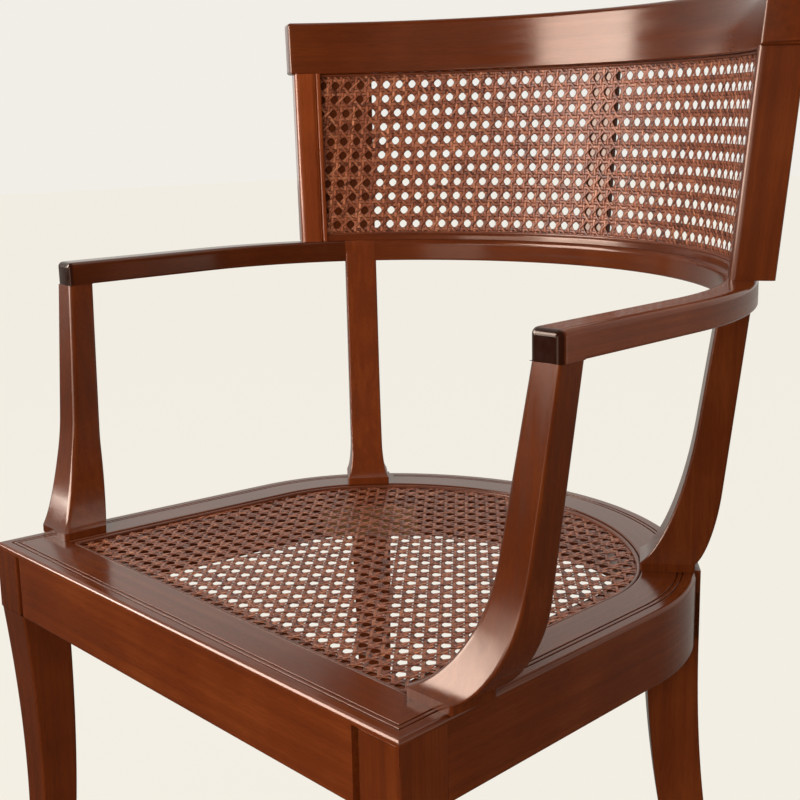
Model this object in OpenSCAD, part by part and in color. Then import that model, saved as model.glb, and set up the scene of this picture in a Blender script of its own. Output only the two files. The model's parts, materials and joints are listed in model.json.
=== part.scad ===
// Open-arm klismos chair with a caned seat and a curved caned back, in millimetres.
// The origin lies on the floor under the middle of the chair's box; the front faces -Y and +Z is up.
// Plan positions inside the modules are measured back from the front edge of the seat.

/* [Seat] */
// Height of the wooden seat top above the floor
seat_h = 445; // [420:1:470]
// Width of the seat along its front edge
seat_w = 488; // [470:1:510]
// Depth of the seat from its front edge to the middle of its back edge
seat_d = 437; // [420:1:460]
// Inward slope of each side of the seat, millimetres per millimetre
seat_taper = 0.068; // [0.05:0.002:0.08]
// Radius of the seat's rear corners
seat_corner_r = 161; // [150:1:170]
// Angle at which a rear corner's curve runs into the back edge, in degrees
seat_seam = 40; // [36:0.5:44]
// Height of the seat rails
rail_h = 54; // [48:1:60]
// Thickness of the seat rails under their top flange
rail_t = 27; // [25:0.5:30]
// Thickness of the top flange that carries the cane
flange_t = 16; // [14:0.5:18]
// Width of polished wood from the sides and back of the seat to the cane's spline
border_w = 39.5; // [37:0.5:42]
// Width of polished wood along the front of the seat
front_border_w = 44; // [40:0.5:48]
// Distance of the double line from the edge of the seat
line_inset = 9; // [7:0.5:11]
// Width over the double line
line_span = 5; // [4:0.5:6]
// Width of one cut of the double line
line_w = 1.2; // [0.8:0.1:1.6]
// Depth of the double line
line_depth = 1; // [0.5:0.1:1.5]
// Distance at which the double line stops behind each rear post
line_stop = 6; // [4:0.5:8]

/* [Cane] */
// Thickness of the woven cane
cane_t = 1.6; // [1.2:0.1:2]
// Distance between the openings of the weave
cane_pitch = 12.7; // [12:0.1:14]
// Radius of an opening in the weave
cane_hole_r = 3.1; // [2.5:0.1:3.5]
// Width of the reed spline that holds the cane
spline_w = 4; // [3:0.25:5]
// Depth of the spline's groove
spline_depth = 9; // [7:0.5:11]
// Height of the reed spline over the cane
spline_rise = 1.2; // [0.5:0.1:1.4]
// Depth of the cane's surface under the polished border
cane_drop = 2; // [1.5:0.25:3]
// Width of the wooden ledge under the edge of the seat cane
ledge_w = 12.5; // [10:0.5:15]

/* [Legs] */
// Width of a front leg block across the chair
leg_block_w = 40; // [37:0.5:44]
// Depth of a front leg block
leg_block_d = 40; // [37:0.5:42]
// Width of the upright reveal cut beside a front leg block
reveal_w = 6; // [4:0.5:7]
// Depth of that reveal
reveal_d = 5; // [3:0.5:6]
// Distance from the seat top to the top of the reveal
reveal_top = 4; // [3:0.5:6]
// How far the front toes reach in front of the seat
front_toe = 24; // [15:1:35]
// How far the middle of a front leg is set back
front_leg_set_back = 12; // [6:1:14]
// Depth of the hollow down the outer side of a front leg
front_leg_waist = 5; // [2:0.5:7]
// Size of the square toe of each leg
toe_w = 26; // [23:0.5:30]
// Height of the nail glide under each toe
glide_h = 4; // [3:0.5:6]
// Radius of a nail glide
glide_r = 9; // [7:0.5:10]
// Angle of the rear legs about the centre of a rear corner
rear_leg_angle = 42; // [39:0.5:45]
// Width of a rear leg block along the rail
rear_block_w = 36; // [32:1:40]
// Depth of a rear leg block across the rail
rear_block_d = 39; // [36:0.5:41]
// How far a rear leg block stands proud of the rail
rear_block_proud = 2.5; // [1:0.5:3]
// Thickness of the tongue by which a rear leg runs up to the seat top
rear_tongue_t = 11; // [8:0.5:14]
// How far the rear toes reach out past the rail
rear_toe = 88; // [75:1:100]

/* [Arms] */
// Height from the seat top to the underside of the arm rail at the front
post_h = 199; // [185:1:215]
// Distance of the arms' front ends behind the seat's front edge
arm_setback = 90; // [80:1:100]
// Half the width between the arm rail's centre lines at the seat's front edge
arm_half_w = 271.8; // [267:0.2:276]
// Inward slope of the arms
arm_taper = 0.039; // [0.03:0.001:0.045]
// Radius of the arm rail's centre line at its side bends
arm_side_r = 225.8; // [220:0.2:235]
// Angle at which the side bend runs into the curve across the back, in degrees
arm_seam = 45; // [42:0.5:48]
// Distance of the arm rail's centre line at the back from the seat's front edge
arm_reach = 456.8; // [450:0.2:465]
// Width of the arm rail
arm_w = 23; // [21:0.5:25]
// Height of the arm rail
arm_h = 19; // [17:0.5:21]
// Rise of the arm rail towards the back, in degrees
arm_rise = 0.5; // [0:0.1:1.5]
// Rounding of the arm rail's top edges
arm_round = 4; // [2:0.5:5]
// Rounding of the arm rail's lower edges
arm_lower_round = 1.5; // [1:0.5:2]

/* [Front arm posts] */
// Width of a front post at its top
post_top_w = 22.3; // [20:0.1:23]
// Depth of a front post at its top
post_top_d = 21; // [19:0.5:23]
// Width of a front post's foot
post_foot_w = 40.5; // [38:0.5:42]
// Depth of a front post's foot
post_foot_d = 37.5; // [36:0.5:40]
// Distance of a front post's foot behind the seat's front edge
post_foot_setback = 41.3; // [40:0.1:45]
// How far a front post's foot stands out over the side of the seat
post_foot_proud = 2; // [0.5:0.5:3]
// Height of the upright plinth at the base of every post
plinth_h = 6; // [4:0.5:9]
// Height at which the outer flare of a post begins
flare_outer = 60; // [50:1:70]
// Height at which the inner flare of a front post begins
flare_inner = 78; // [70:1:88]
// Height at which the forward flare of a front post begins
flare_front = 90; // [80:1:100]
// Slope of a front post's inner face, millimetres per millimetre
post_lean_in = 0.115; // [0.1:0.0025:0.13]
// Slope of its outer face
post_lean_out = 0.0825; // [0.07:0.0025:0.095]
// Slope of its front face
post_lean_front = 0.113; // [0.1:0.001:0.125]
// Slope of its back face
post_lean_back = 0.084; // [0.07:0.001:0.095]

/* [Rear arm posts] */
// Width of a rear post along the rail
rear_post_w = 28.4; // [26:0.2:31]
// Depth of a rear post at its top, across the rail
rear_post_top_d = 22; // [20:0.5:23]
// How far a rear post stands proud inside the arm rail
rear_post_proud = 1.5; // [0.5:0.5:2.5]
// Depth of a rear post's foot
rear_post_foot_d = 40; // [37:0.5:42]
// Direction in which the rear posts lean out, in degrees from the side
rear_post_angle = 38; // [36:0.5:40]
// Spread of a rear post's foot to each side
rear_post_spread = 4.5; // [3:0.5:6]
// Distance from the seat's edge to the foot of a rear post
rear_post_inset = 1; // [0.5:0.5:4]
// Height at which a rear post's foot begins to spread sideways
rear_flare_side = 34; // [25:1:45]
// Height at which the inner flare of a rear post begins
rear_flare_inner = 110; // [95:1:120]
// Slope of a rear post's inner face, millimetres per millimetre
rear_lean_in = 0.143; // [0.13:0.001:0.155]
// Slope of its outer face
rear_lean_out = 0.114; // [0.1:0.001:0.125]

/* [Back] */
// Height of the chair's crest above the floor
total_h = 864; // [840:1:890]
// Outward lean of the back, in degrees
back_lean = 5.4; // [4:0.1:7]
// Thickness of a stile across the back
stile_d = 31; // [29:0.5:35]
// Width of a stile along the back
stile_w = 24; // [22:0.5:27]
// Distance from the back cane to the inner face of a stile
stile_inset = 8.7; // [7:0.1:10]
// Angle about the centre of the back's curve at which the cane meets a stile
cane_angle = 35.8; // [35:0.1:36.6]
// Distance of the back cane inside the middle of the back bow
back_inset = 1.5; // [0:0.5:3]
// Radius of the rounded front corner of a stile
stile_round = 5; // [3:0.5:7]
// Rounding of a stile's outer corners
stile_arris = 2; // [1:0.5:3]
// Width of the bead beside the cane
bead_w = 4.6; // [3.5:0.1:6]
// Depth of the quirk beside that bead
quirk_d = 1.5; // [1:0.1:2]
// Height of the crest rail
crest_h = 46; // [38:1:55]
// Thickness of the crest rail
crest_t = 27; // [24:0.5:30]
// Height of the slip that carries the lower edge of the back cane
slip_h = 5; // [4:0.5:8]
// Thickness of that slip
slip_t = 12; // [10:0.5:14]
// Depth to which the back cane sits in that slip
cane_seat = 3; // [2:0.5:3.5]
// Depth of the grooves that hold the back cane at its other edges
back_groove = 5; // [4:0.5:6]
// Width of the splines along the back cane
spline_bead = 2.4; // [1.6:0.2:3]
// Angle by which the crest rail's ends pass the stiles
crest_overhang = 0.6; // [0:0.1:1.5]
// Thickness of the three uprights that stand behind the back cane
upright_t = 4.8; // [3.6:0.1:4.9]
// Width of the middle upright
upright_w = 26; // [20:1:32]
// Angle about the centre of the back's curve at which a side upright ends
upright_angle = 45; // [42:0.5:48]

/* [Joinery] */
// Length of the tenons
tenon_l = 18; // [14:1:20]
// Thickness of the tenons
tenon_t = 9; // [7:0.5:11]
// Height of the tenons
tenon_h = 26; // [22:1:30]
// Radius of the dowels
dowel_r = 4; // [3:0.25:4.5]
// Length of the dowels in the arm posts
dowel_l = 36; // [30:1:40]
// Depth of a dowel in the arm rail
dowel_in_arm = 12; // [10:0.5:13]
// Radius of the wood screws
screw_r = 2.5; // [2:0.1:3]
// Radius of a screw's head
screw_head_r = 4.5; // [4:0.1:5]
// Height of a screw's head
screw_head_h = 3; // [2.5:0.1:4]
// Depth to which a post screw bites above the seat
post_screw_bite = 20; // [15:1:22]
// Least thickness of wood over the end of a corner block's screw
screw_cover = 4.5; // [4:0.5:6]
// Distance of a front post's screw from the outer face of its foot
front_screw_in = 13; // [12:0.2:14]
// Distance of that screw from the back face of the foot
front_screw_on = 12.8; // [12:0.2:14]
// Distance of a rear post's screw from the outer face of its foot
rear_screw_in = 15.2; // [14:0.2:17]
// Distance of a stile's screw from its inner face
stile_screw_in = 10.8; // [10.4:0.2:12]
// Radius of the pins across the joints of the arm rail
joint_dowel_r = 2; // [1.5:0.1:2.5]
// Length of those pins
joint_dowel_l = 24; // [18:1:30]
// Depth to which a screw bites into a stile
stile_bite = 34; // [24:1:45]
// Length of the dowels between the stiles and the crest
crest_dowel_l = 40; // [30:1:50]
// Thickness of the corner blocks
corner_block_t = 28; // [22:1:32]
// Length of a corner block along the rail
corner_block_l = 62; // [55:1:70]
// Clearance round pins and tenons
fit_gap = 0.1; // [0.05:0.01:0.2]
// Clearance beside the cane in its grooves
groove_gap = 0.25; // [0.15:0.05:0.4]

/* [Hidden] */
$fn = 128;

wood = "#5c2a1a";
dark_wood = "#43200f";
cane_colour = "#8a4f34";
metal = "#b8b4a8";
far = 900;

// A plan curve is a front half width, a side slope, a corner radius, a seam angle and a reach.
// Its corner arc is tangent to the straight side, and meets the back arc at the seam angle.
function slope_k(p) = sqrt(1 + p[1] * p[1]);
function corner_m(p) = p[0] - p[2] * slope_k(p);
function seam_angle(p) = p[3];
function seam_rise(p) = 1 / cos(seam_angle(p)) - tan(seam_angle(p));
function corner_y(p) = (p[4] - p[2] - seam_rise(p) * corner_m(p)) / (1 - seam_rise(p) * p[1]);
function corner_x(p) = corner_m(p) - p[1] * corner_y(p);
function back_radius(p) = p[2] + corner_x(p) / cos(seam_angle(p));
function back_y(p) = p[4] - back_radius(p);
function side_x(p, y, grow = 0) = p[0] - p[1] * y + grow * slope_k(p);
function corner_point(p, r, a) = [corner_x(p) + r * cos(a), corner_y(p) + r * sin(a)];

seat = [seat_w / 2, seat_taper, seat_corner_r, seat_seam, seat_d];
arm = [arm_half_w, arm_taper, arm_side_r, arm_seam, arm_reach];
seat_back_r = back_radius(seat);
arm_back_r = back_radius(arm);

flange_z = seat_h - flange_t;
rail_z = seat_h - rail_h;
cane_top = seat_h - cane_drop;
arm_z = seat_h + post_h;
block_x = seat_w / 2 - leg_block_w;
leg_len = rail_z - glide_h;
tenon_z = rail_z + (rail_h - flange_t - tenon_h) / 2;

// Each rear post ends in a head that is part of the rail, between the arm and the back bow.
head_a1 = seam_angle(arm);
head_a0 = head_a1 - 2 * asin(rear_post_w / 2 / arm_side_r);
rear_post_top = corner_point(arm, arm_side_r, (head_a0 + head_a1) / 2);

// The back is swept about the centre of the back bow.
back_cy = back_y(arm);
back_r = arm_back_r - back_inset;
stile_angle = cane_angle - asin(stile_w / 2 / back_r);
stile_foot_r = back_r - stile_inset;
back_grow = tan(back_lean);
crest_in = stile_d / 2 - stile_inset - crest_t / 2;
// The back stands on the rising arm rail, so its own height follows from the crest's height over the floor.
crest_foot_y = back_cy + back_r + crest_in + crest_t - back_grow * arm_h;
back_top = (total_h - arm_z - (crest_foot_y - arm_setback) * sin(arm_rise))
    / (cos(arm_rise) + back_grow * sin(arm_rise));
back_h = back_top - arm_h;
crest_z = back_top - crest_h;

// Room in front of the seat for the toes, and behind it for the crest or the rear toes.
rear_toe_tip = corner_point(seat, seat_corner_r + rear_toe, rear_leg_angle);
rear_toe_y = rear_toe_tip[1] + toe_w / 2 * cos(rear_leg_angle);
crest_y = arm_setback + (crest_foot_y + back_grow * back_top - arm_setback) * cos(arm_rise)
    - back_top * sin(arm_rise);
mid_y = (max(rear_toe_y, crest_y) - front_toe) / 2;

module place() translate([0, -mid_y, 0]) children();
module left_side() mirror([1, 0, 0]) children();
module arm_frame()
    translate([0, arm_setback, arm_z]) rotate([arm_rise, 0, 0]) translate([0, -arm_setback, 0]) children();

// Region inside a plan curve grown by grow, from y0 back.
module plan_region(p, grow, y0) {
    a = atan(p[1]);
    cx = corner_x(p);
    cy = corner_y(p);
    t = corner_point(p, p[2] + grow, a);
    polygon([
        [side_x(p, y0, grow), y0], t, [cx, cy], [0, back_y(p)], [-cx, cy], [-t[0], t[1]],
        [-side_x(p, y0, grow), y0]
    ]);
    for (s = [-1, 1]) translate([s * cx, cy]) circle(p[2] + grow);
    intersection() {
        translate([0, back_y(p)]) circle(back_radius(p) + grow);
        back_wedge(p);
    }
}

// Wedge between the two corner seams, seen from the centre of the back arc.
module back_wedge(p) {
    x = far * cos(seam_angle(p));
    y = back_y(p) + far * sin(seam_angle(p));
    polygon([[0, back_y(p)], [x, y], [-x, y]]);
}

// Sector of a profile turned about the centre of the right corner arc.
module corner_sweep(p, a0, a1)
    translate([corner_x(p), corner_y(p), 0]) rotate([0, 0, a0]) rotate_extrude(angle = a1 - a0) children();

module back_sweep(p) {
    a = seam_angle(p);
    translate([0, back_y(p), 0]) rotate([0, 0, a]) rotate_extrude(angle = 180 - 2 * a) children();
}

// Seat rails

module seat_border_2d() {
    difference() {
        plan_region(seat, 0, 0);
        plan_region(seat, -border_w, front_border_w);
    }
}

module seat_ledge_2d() {
    difference() {
        plan_region(seat, -border_w - spline_w, front_border_w + spline_w);
        plan_region(seat, -border_w - spline_w - ledge_w, front_border_w + spline_w + ledge_w);
    }
}

module seat_spline_2d() {
    difference() {
        plan_region(seat, -border_w, front_border_w);
        plan_region(seat, -border_w - spline_w, front_border_w + spline_w);
    }
}

// One cut of the double line, which stops short of the back of each rear post.
module line_2d(inset) {
    difference() {
        plan_region(seat, -inset, inset);
        plan_region(seat, -inset - line_w, inset + line_w);
        for (s = [0, 1]) mirror([s, 0]) translate(rear_post_top) rotate(rear_post_angle)
            translate([rear_foot_out - rear_post_foot_d, -rear_post_w / 2])
                square([2 * rear_post_foot_d, rear_post_w + rear_post_spread + line_stop]);
    }
}

module seat_frame() {
    difference() {
        union() {
            translate([0, 0, rail_z]) linear_extrude(rail_h) difference() {
                plan_region(seat, 0, 0);
                plan_region(seat, -rail_t, rail_t);
            }
            translate([0, 0, flange_z]) linear_extrude(flange_t) seat_border_2d();
            translate([0, 0, flange_z]) linear_extrude(flange_t - cane_drop - cane_t) union() {
                seat_ledge_2d();
                seat_spline_2d();
            }
        }
        translate([0, 0, seat_h - cane_drop - spline_depth]) linear_extrude(far) seat_spline_2d();
        translate([0, 0, seat_h - line_depth]) linear_extrude(far) union() {
            line_2d(line_inset);
            line_2d(line_inset + line_span - line_w);
        }
        for (s = [0, 1]) mirror([s, 0, 0]) {
            front_block_volume();
            reveal();
            rear_block_volume();
            front_post_screw_hole();
            rear_post_screw_hole();
            corner_screw_holes();
        }
    }
}

module front_zone() {
    x = side_x(seat, front_border_w, -border_w);
    reach = 2.5 * front_border_w;
    slope = (seat_w / 2 - x) / front_border_w;
    translate([0, 0, rail_z]) linear_extrude(rail_h) polygon([
        [-seat_w / 2, 0], [seat_w / 2, 0],
        [seat_w / 2 - slope * reach, reach], [-seat_w / 2 + slope * reach, reach]
    ]);
}

module back_zone() {
    c = corner_point(seat, 0, 0);
    e = corner_point(seat, far, rear_leg_angle);
    translate([0, 0, rail_z]) linear_extrude(rail_h)
        polygon([c, e, [e[0], far * 2], [-e[0], far * 2], [-e[0], e[1]], [-c[0], c[1]]]);
}

module side_zone() {
    difference() {
        translate([0, 0, rail_z]) linear_extrude(rail_h) square([far, far]);
        front_zone();
        back_zone();
    }
}

module front_seat_rail() color(wood) {
    intersection() {
        seat_frame();
        front_zone();
    }
    for (s = [0, 1]) mirror([s, 0, 0]) translate([block_x, (rail_t - tenon_t) / 2, tenon_z])
        cube([tenon_l, tenon_t, tenon_h]);
}

module side_seat_rail() color(wood) {
    intersection() {
        seat_frame();
        side_zone();
    }
    translate([side_tenon_x(), leg_block_d - tenon_l, tenon_z]) cube([tenon_t, tenon_l, tenon_h]);
    rear_frame() translate([-rail_t + (rail_t - tenon_t) / 2, -rear_block_w / 2, tenon_z])
        cube([tenon_t, tenon_l / 2, tenon_h]);
}

module back_seat_rail() color(wood) {
    intersection() {
        seat_frame();
        back_zone();
    }
    for (s = [0, 1]) mirror([s, 0, 0])
        rear_frame() translate([-rail_t + (rail_t - tenon_t) / 2, rear_block_w / 2 - tenon_l / 2, tenon_z])
            cube([tenon_t, tenon_l / 2, tenon_h]);
}

function side_tenon_x() = side_x(seat, leg_block_d, -rail_t) + (rail_t - tenon_t) / 2;

// Frame with its origin on the rail's outer face at the rear leg and +X pointing out of the seat.
module rear_frame() {
    c = corner_point(seat, seat_corner_r, rear_leg_angle);
    translate([c[0], c[1], 0]) rotate([0, 0, rear_leg_angle]) children();
}

// Legs

module front_block_2d() {
    intersection() {
        plan_region(seat, 0, 0);
        translate([block_x, 0]) square([leg_block_w * 2, leg_block_d]);
    }
}

module front_block_volume()
    translate([0, 0, rail_z - 1]) linear_extrude(flange_z - rail_z + 1) front_block_2d();

module reveal()
    translate([block_x, -1, rail_z - 1]) cube([reveal_w, reveal_d + 1, rail_h + 1 - reveal_top]);

module rear_block_volume() rear_frame() {
    translate([rear_block_proud - rear_block_d, -rear_block_w / 2, rail_z - 1])
        cube([rear_block_d, rear_block_w, flange_z - rail_z + 1]);
    translate([rear_block_proud - rear_tongue_t, -rear_block_w / 2, rail_z])
        cube([rear_tongue_t, rear_block_w, rail_h + 1]);
}

function bezier(b, t) = b[0] * pow(1 - t, 3) + 3 * b[1] * t * pow(1 - t, 2)
    + 3 * b[2] * t * t * (1 - t) + b[3] * pow(t, 3);

// A curve that has gone the shares p and q of its way at its two middle control points.
function swept(a, b, p, q) = [a, a + p * (b - a), a + q * (b - a), b];

leg_steps = 16;

// Side view of a leg between two curves, from the block at the top to the toe.
module leg_profile(one, two) {
    polygon(concat(
        [for (i = [0 : leg_steps]) [bezier(one, i / leg_steps), rail_z - leg_len * i / leg_steps]],
        [for (i = [leg_steps : -1 : 0]) [bezier(two, i / leg_steps), rail_z - leg_len * i / leg_steps]]
    ));
}

module front_leg_shaft() {
    outer = side_x(seat, leg_block_d);
    hollow = outer - front_leg_waist;
    set_back = front_leg_set_back;
    intersection() {
        rotate([90, 0, 0]) translate([0, 0, -far / 2]) linear_extrude(far)
            leg_profile(swept(block_x, outer - toe_w, 0.2, 0.7), [outer, hollow, hollow, outer]);
        rotate([90, 0, 90]) linear_extrude(far)
            leg_profile([0, set_back, set_back, -front_toe],
                [leg_block_d, set_back + leg_block_d * 0.75, set_back + toe_w, toe_w - front_toe]);
    }
}

module front_leg() color(wood) {
    difference() {
        union() {
            translate([0, 0, rail_z]) linear_extrude(flange_z - rail_z) front_block_2d();
            front_leg_shaft();
        }
        reveal();
        translate([block_x - 1, (rail_t - tenon_t) / 2 - fit_gap, tenon_z - fit_gap])
            cube([tenon_l + 1 + fit_gap, tenon_t + 2 * fit_gap, tenon_h + 2 * fit_gap]);
        translate([side_tenon_x() - fit_gap, leg_block_d - tenon_l - fit_gap, tenon_z - fit_gap])
            cube([tenon_t + 2 * fit_gap, tenon_l + 1 + fit_gap, tenon_h + 2 * fit_gap]);
    }
}

module rear_leg_shaft() {
    inner = rear_block_proud - rear_block_d;
    half = rear_block_w / 2;
    rear_frame() intersection() {
        rotate([90, 0, 0]) translate([0, 0, -far / 2]) linear_extrude(far)
            leg_profile(swept(inner, rear_toe - toe_w, 0.04, 0.28),
                swept(rear_block_proud, rear_toe, 0, 0.21));
        rotate([90, 0, 90]) translate([0, 0, -far / 2]) linear_extrude(far)
            leg_profile(swept(-half, -toe_w / 2, 0.6, 1), swept(half, toe_w / 2, 0.6, 1));
    }
}

module rear_leg() color(wood) {
    difference() {
        union() {
            rear_frame() translate([rear_block_proud - rear_block_d, -rear_block_w / 2, rail_z])
                cube([rear_block_d, rear_block_w, flange_z - rail_z]);
            rear_frame() translate([rear_block_proud - rear_tongue_t, -rear_block_w / 2, rail_z])
                cube([rear_tongue_t, rear_block_w, rail_h]);
            rear_leg_shaft();
        }
        rear_post_screw_hole();
        for (s = [0, 1]) rear_frame() mirror([0, s, 0])
            translate([-rail_t + (rail_t - tenon_t) / 2 - fit_gap, rear_block_w / 2 - tenon_l / 2 - fit_gap,
                tenon_z - fit_gap])
                cube([tenon_t + 2 * fit_gap, tenon_l / 2 + 1 + fit_gap, tenon_h + 2 * fit_gap]);
    }
}

module glide(c) color(metal) translate([c[0], c[1], 0]) cylinder(h = glide_h, r = glide_r);
function front_toe_at() = [side_x(seat, leg_block_d) - toe_w / 2, toe_w / 2 - front_toe];
function rear_toe_at() = corner_point(seat, seat_corner_r + rear_toe - toe_w / 2, rear_leg_angle);

// Corner blocks

module front_corner_block_2d() {
    l = corner_block_l;
    polygon([
        [block_x - l, rail_t], [block_x, rail_t], [block_x, leg_block_d],
        [side_x(seat, leg_block_d, -rail_t), leg_block_d],
        [side_x(seat, leg_block_d + l, -rail_t), leg_block_d + l]
    ]);
}

rear_corner_reach = 5 * dowel_r;

module rear_corner_block_2d() {
    c = corner_point(seat, seat_corner_r, rear_leg_angle);
    difference() {
        intersection() {
            plan_region(seat, -rail_t, rail_t);
            translate(c) rotate(rear_leg_angle)
                translate([-rear_block_d - rear_corner_reach, -corner_block_l * 0.7])
                    square([far, corner_block_l * 1.4]);
        }
        translate(c) rotate(rear_leg_angle) translate([rear_block_proud - rear_block_d, -rear_block_w / 2])
            square([rear_block_d, rear_block_w]);
    }
}

// Distances of a corner block's screws from the rails and from the leg.
block_screw_in = 2 * screw_head_r;
block_screw_on = 3 * screw_head_r;
function front_screw_spots() = [
    [block_x - block_screw_on, rail_t + block_screw_in],
    [side_x(seat, leg_block_d + block_screw_on, -rail_t) - block_screw_in, leg_block_d + block_screw_on]
];
function rear_screw_spots() =
    [for (s = [-1, 1]) [-rail_t - block_screw_in, s * (rear_block_w / 2 + block_screw_in)]];

module corner_screw_spots() {
    for (p = front_screw_spots()) translate(p) children();
    rear_frame() for (p = rear_screw_spots()) translate(p) children();
}

// Depth to which a corner block's screw bites into the ledge under the cane.
block_screw_bite = flange_t - cane_drop - cane_t - screw_cover;

module corner_screw_holes()
    corner_screw_spots() translate([0, 0, flange_z - 1])
        cylinder(h = block_screw_bite + 1 + fit_gap, r = screw_r + fit_gap);

module corner_block(rear) color(dark_wood) {
    difference() {
        translate([0, 0, flange_z - corner_block_t]) linear_extrude(corner_block_t)
            if (rear) rear_corner_block_2d(); else front_corner_block_2d();
        corner_screw_spots() translate([0, 0, flange_z - corner_block_t - 1]) {
            cylinder(h = corner_block_t + 2, r = screw_r + fit_gap);
            cylinder(h = screw_head_h + 1 + fit_gap, r = screw_head_r + fit_gap);
        }
    }
}

module corner_block_screws() color(metal)
    for (s = [0, 1]) mirror([s, 0, 0]) corner_screw_spots() translate([0, 0, flange_z - corner_block_t]) {
        cylinder(h = corner_block_t + block_screw_bite, r = screw_r);
        cylinder(h = screw_head_h, r = screw_head_r);
    }

// Seat cane

// The cane sheet keeps every second opening of the weave in both directions.
module seat_cane() color(cane_colour)
    translate([0, 0, cane_top - cane_t]) linear_extrude(cane_t) difference() {
        plan_region(seat, -border_w - spline_w, front_border_w + spline_w);
        for (i = [-hole_reach : hole_reach], j = [0 : 2 * hole_reach])
            if (hole_inside(hole_at(i, j))) translate(hole_at(i, j)) circle(cane_hole_r);
    }

hole_step = 2 * cane_pitch;
hole_reach = ceil(seat_w / 2 / hole_step);
hole_margin = border_w + spline_w + ledge_w + cane_hole_r + 1;
hole_front_y = front_border_w + spline_w + ledge_w + cane_pitch / 2;
function hole_at(i, j) = [i * hole_step, hole_front_y + j * hole_step];
function hole_inside(c) =
    norm([max(0, abs(c[0]) - corner_x(seat)), max(0, c[1] - corner_y(seat))]) < seat_corner_r - hole_margin
    && norm([c[0], c[1] - back_y(seat)]) < (c[1] > corner_y(seat) ? seat_back_r : far) - hole_margin
    && abs(c[0]) < side_x(seat, c[1]) - hole_margin;

module seat_spline() color(wood) translate([0, 0, seat_h - cane_drop - spline_depth])
    linear_extrude(spline_depth + spline_rise) seat_spline_2d();

// Arm posts

// Face of a post at height h: a straight lean from the top that sweeps away to the foot below height c.
function post_face(h, tall, top, slope, foot, c) =
    h <= plinth_h ? foot
    : top - slope * (tall - h) - (top - slope * (tall - plinth_h) - foot) * sweep((c - h) / (c - plinth_h));
function sweep(t) = t <= 0 ? 0 : 1 - sqrt(max(0, 1 - t * t));

post_tall = post_h + arm_h / 3;
post_steps = 26;
// Heights where the post's outline has a point, closer together near the foot.
post_heights = concat([0, plinth_h], [for (i = [1 : post_steps])
    plinth_h + (post_tall - plinth_h) * pow(i / post_steps, 2)]);

module post_profile(a, b) {
    n = len(post_heights);
    polygon(concat(
        [for (h = post_heights) [post_face(h, post_h, a[0], a[1], a[2], a[3]), h]],
        [for (i = [n - 1 : -1 : 0])
            [post_face(post_heights[i], post_h, b[0], b[1], b[2], b[3]), post_heights[i]]]
    ));
}

arm_front_x = side_x(arm, arm_setback);
foot_x = side_x(seat, post_foot_setback) + post_foot_proud;

module front_post_volume() {
    x0 = arm_front_x - arm_w / 2;
    x1 = x0 + post_top_w;
    translate([0, 0, seat_h]) intersection() {
        rotate([90, 0, 0]) translate([0, 0, -far / 2]) linear_extrude(far)
            post_profile([x0, post_lean_in, foot_x - post_foot_w, flare_inner],
                [x1, post_lean_out, foot_x, flare_outer]);
        rotate([90, 0, 90]) linear_extrude(far)
            post_profile([arm_setback, post_lean_front, post_foot_setback, flare_front],
                [arm_setback + post_top_d, post_lean_back, post_foot_setback + post_foot_d, flare_outer]);
    }
}

// Frame at the top of a rear post with +X pointing out along its lean.
module rear_post_frame()
    translate([rear_post_top[0], rear_post_top[1], 0]) rotate([0, 0, rear_post_angle]) children();

// Distance from the rear post's top to the seat's edge along the lean.
function rear_edge_reach() =
    let (c = [rear_post_top[0] - corner_x(seat), rear_post_top[1] - corner_y(seat)],
        u = [cos(rear_post_angle), sin(rear_post_angle)],
        along = c * u)
    along - sqrt(along * along - c * c + seat_corner_r * seat_corner_r);

rear_foot_out = -rear_edge_reach() - rear_post_inset;
rear_post_in = -arm_w / 2 - rear_post_proud;

module rear_post_volume() {
    half = rear_post_w / 2;
    translate([0, 0, seat_h]) rear_post_frame() intersection() {
        rotate([90, 0, 0]) translate([0, 0, -far / 2]) linear_extrude(far)
            post_profile([rear_post_in, rear_lean_in, rear_foot_out - rear_post_foot_d, rear_flare_inner],
                [rear_post_in + rear_post_top_d, rear_lean_out, rear_foot_out, flare_outer]);
        rotate([90, 0, 90]) translate([0, 0, -far / 2]) linear_extrude(far)
            post_profile([-half, 0, -half - rear_post_spread, rear_flare_side],
                [half, 0, half + rear_post_spread, rear_flare_side]);
    }
}

module above_arms(h) arm_frame() translate([-far / 2, -far / 2, h]) cube([far, far * 2, far]);

function front_screw_at() = [foot_x - front_screw_in, post_foot_setback + post_foot_d - front_screw_on];
function front_dowel_at() = [arm_front_x - (arm_w - post_top_w) / 2, arm_setback + post_top_d / 2];
rear_screw_x = rear_foot_out - rear_screw_in;

module front_post_screw_hole() translate(front_screw_at()) post_bore();
module rear_post_screw_hole() rear_post_frame() translate([rear_screw_x, 0]) post_bore();

module post_bore() translate([0, 0, rail_z - 1]) {
    cylinder(h = rail_h + 1 + post_screw_bite + fit_gap, r = screw_r + fit_gap);
    cylinder(h = screw_head_h + 1 + fit_gap, r = screw_head_r + fit_gap);
}

module front_arm_post() color(wood) difference() {
    front_post_volume();
    above_arms(0);
    front_post_screw_hole();
    translate(front_dowel_at()) dowel(fit_gap);
}

module rear_arm_post() color(wood) difference() {
    union() {
        difference() {
            rear_post_volume();
            above_arms(head_overlap);
        }
        arm_frame() corner_sweep(arm, head_a0, head_a1) translate([arm_side_r, 0]) arm_section();
    }
    rear_post_screw_hole();
    arm_frame() joint_pins(fit_gap);
}

// The shaft's proud inner face leans back into the head over this height.
head_overlap = min(arm_h * 0.7, rear_post_proud / rear_lean_in + 2);

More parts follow.
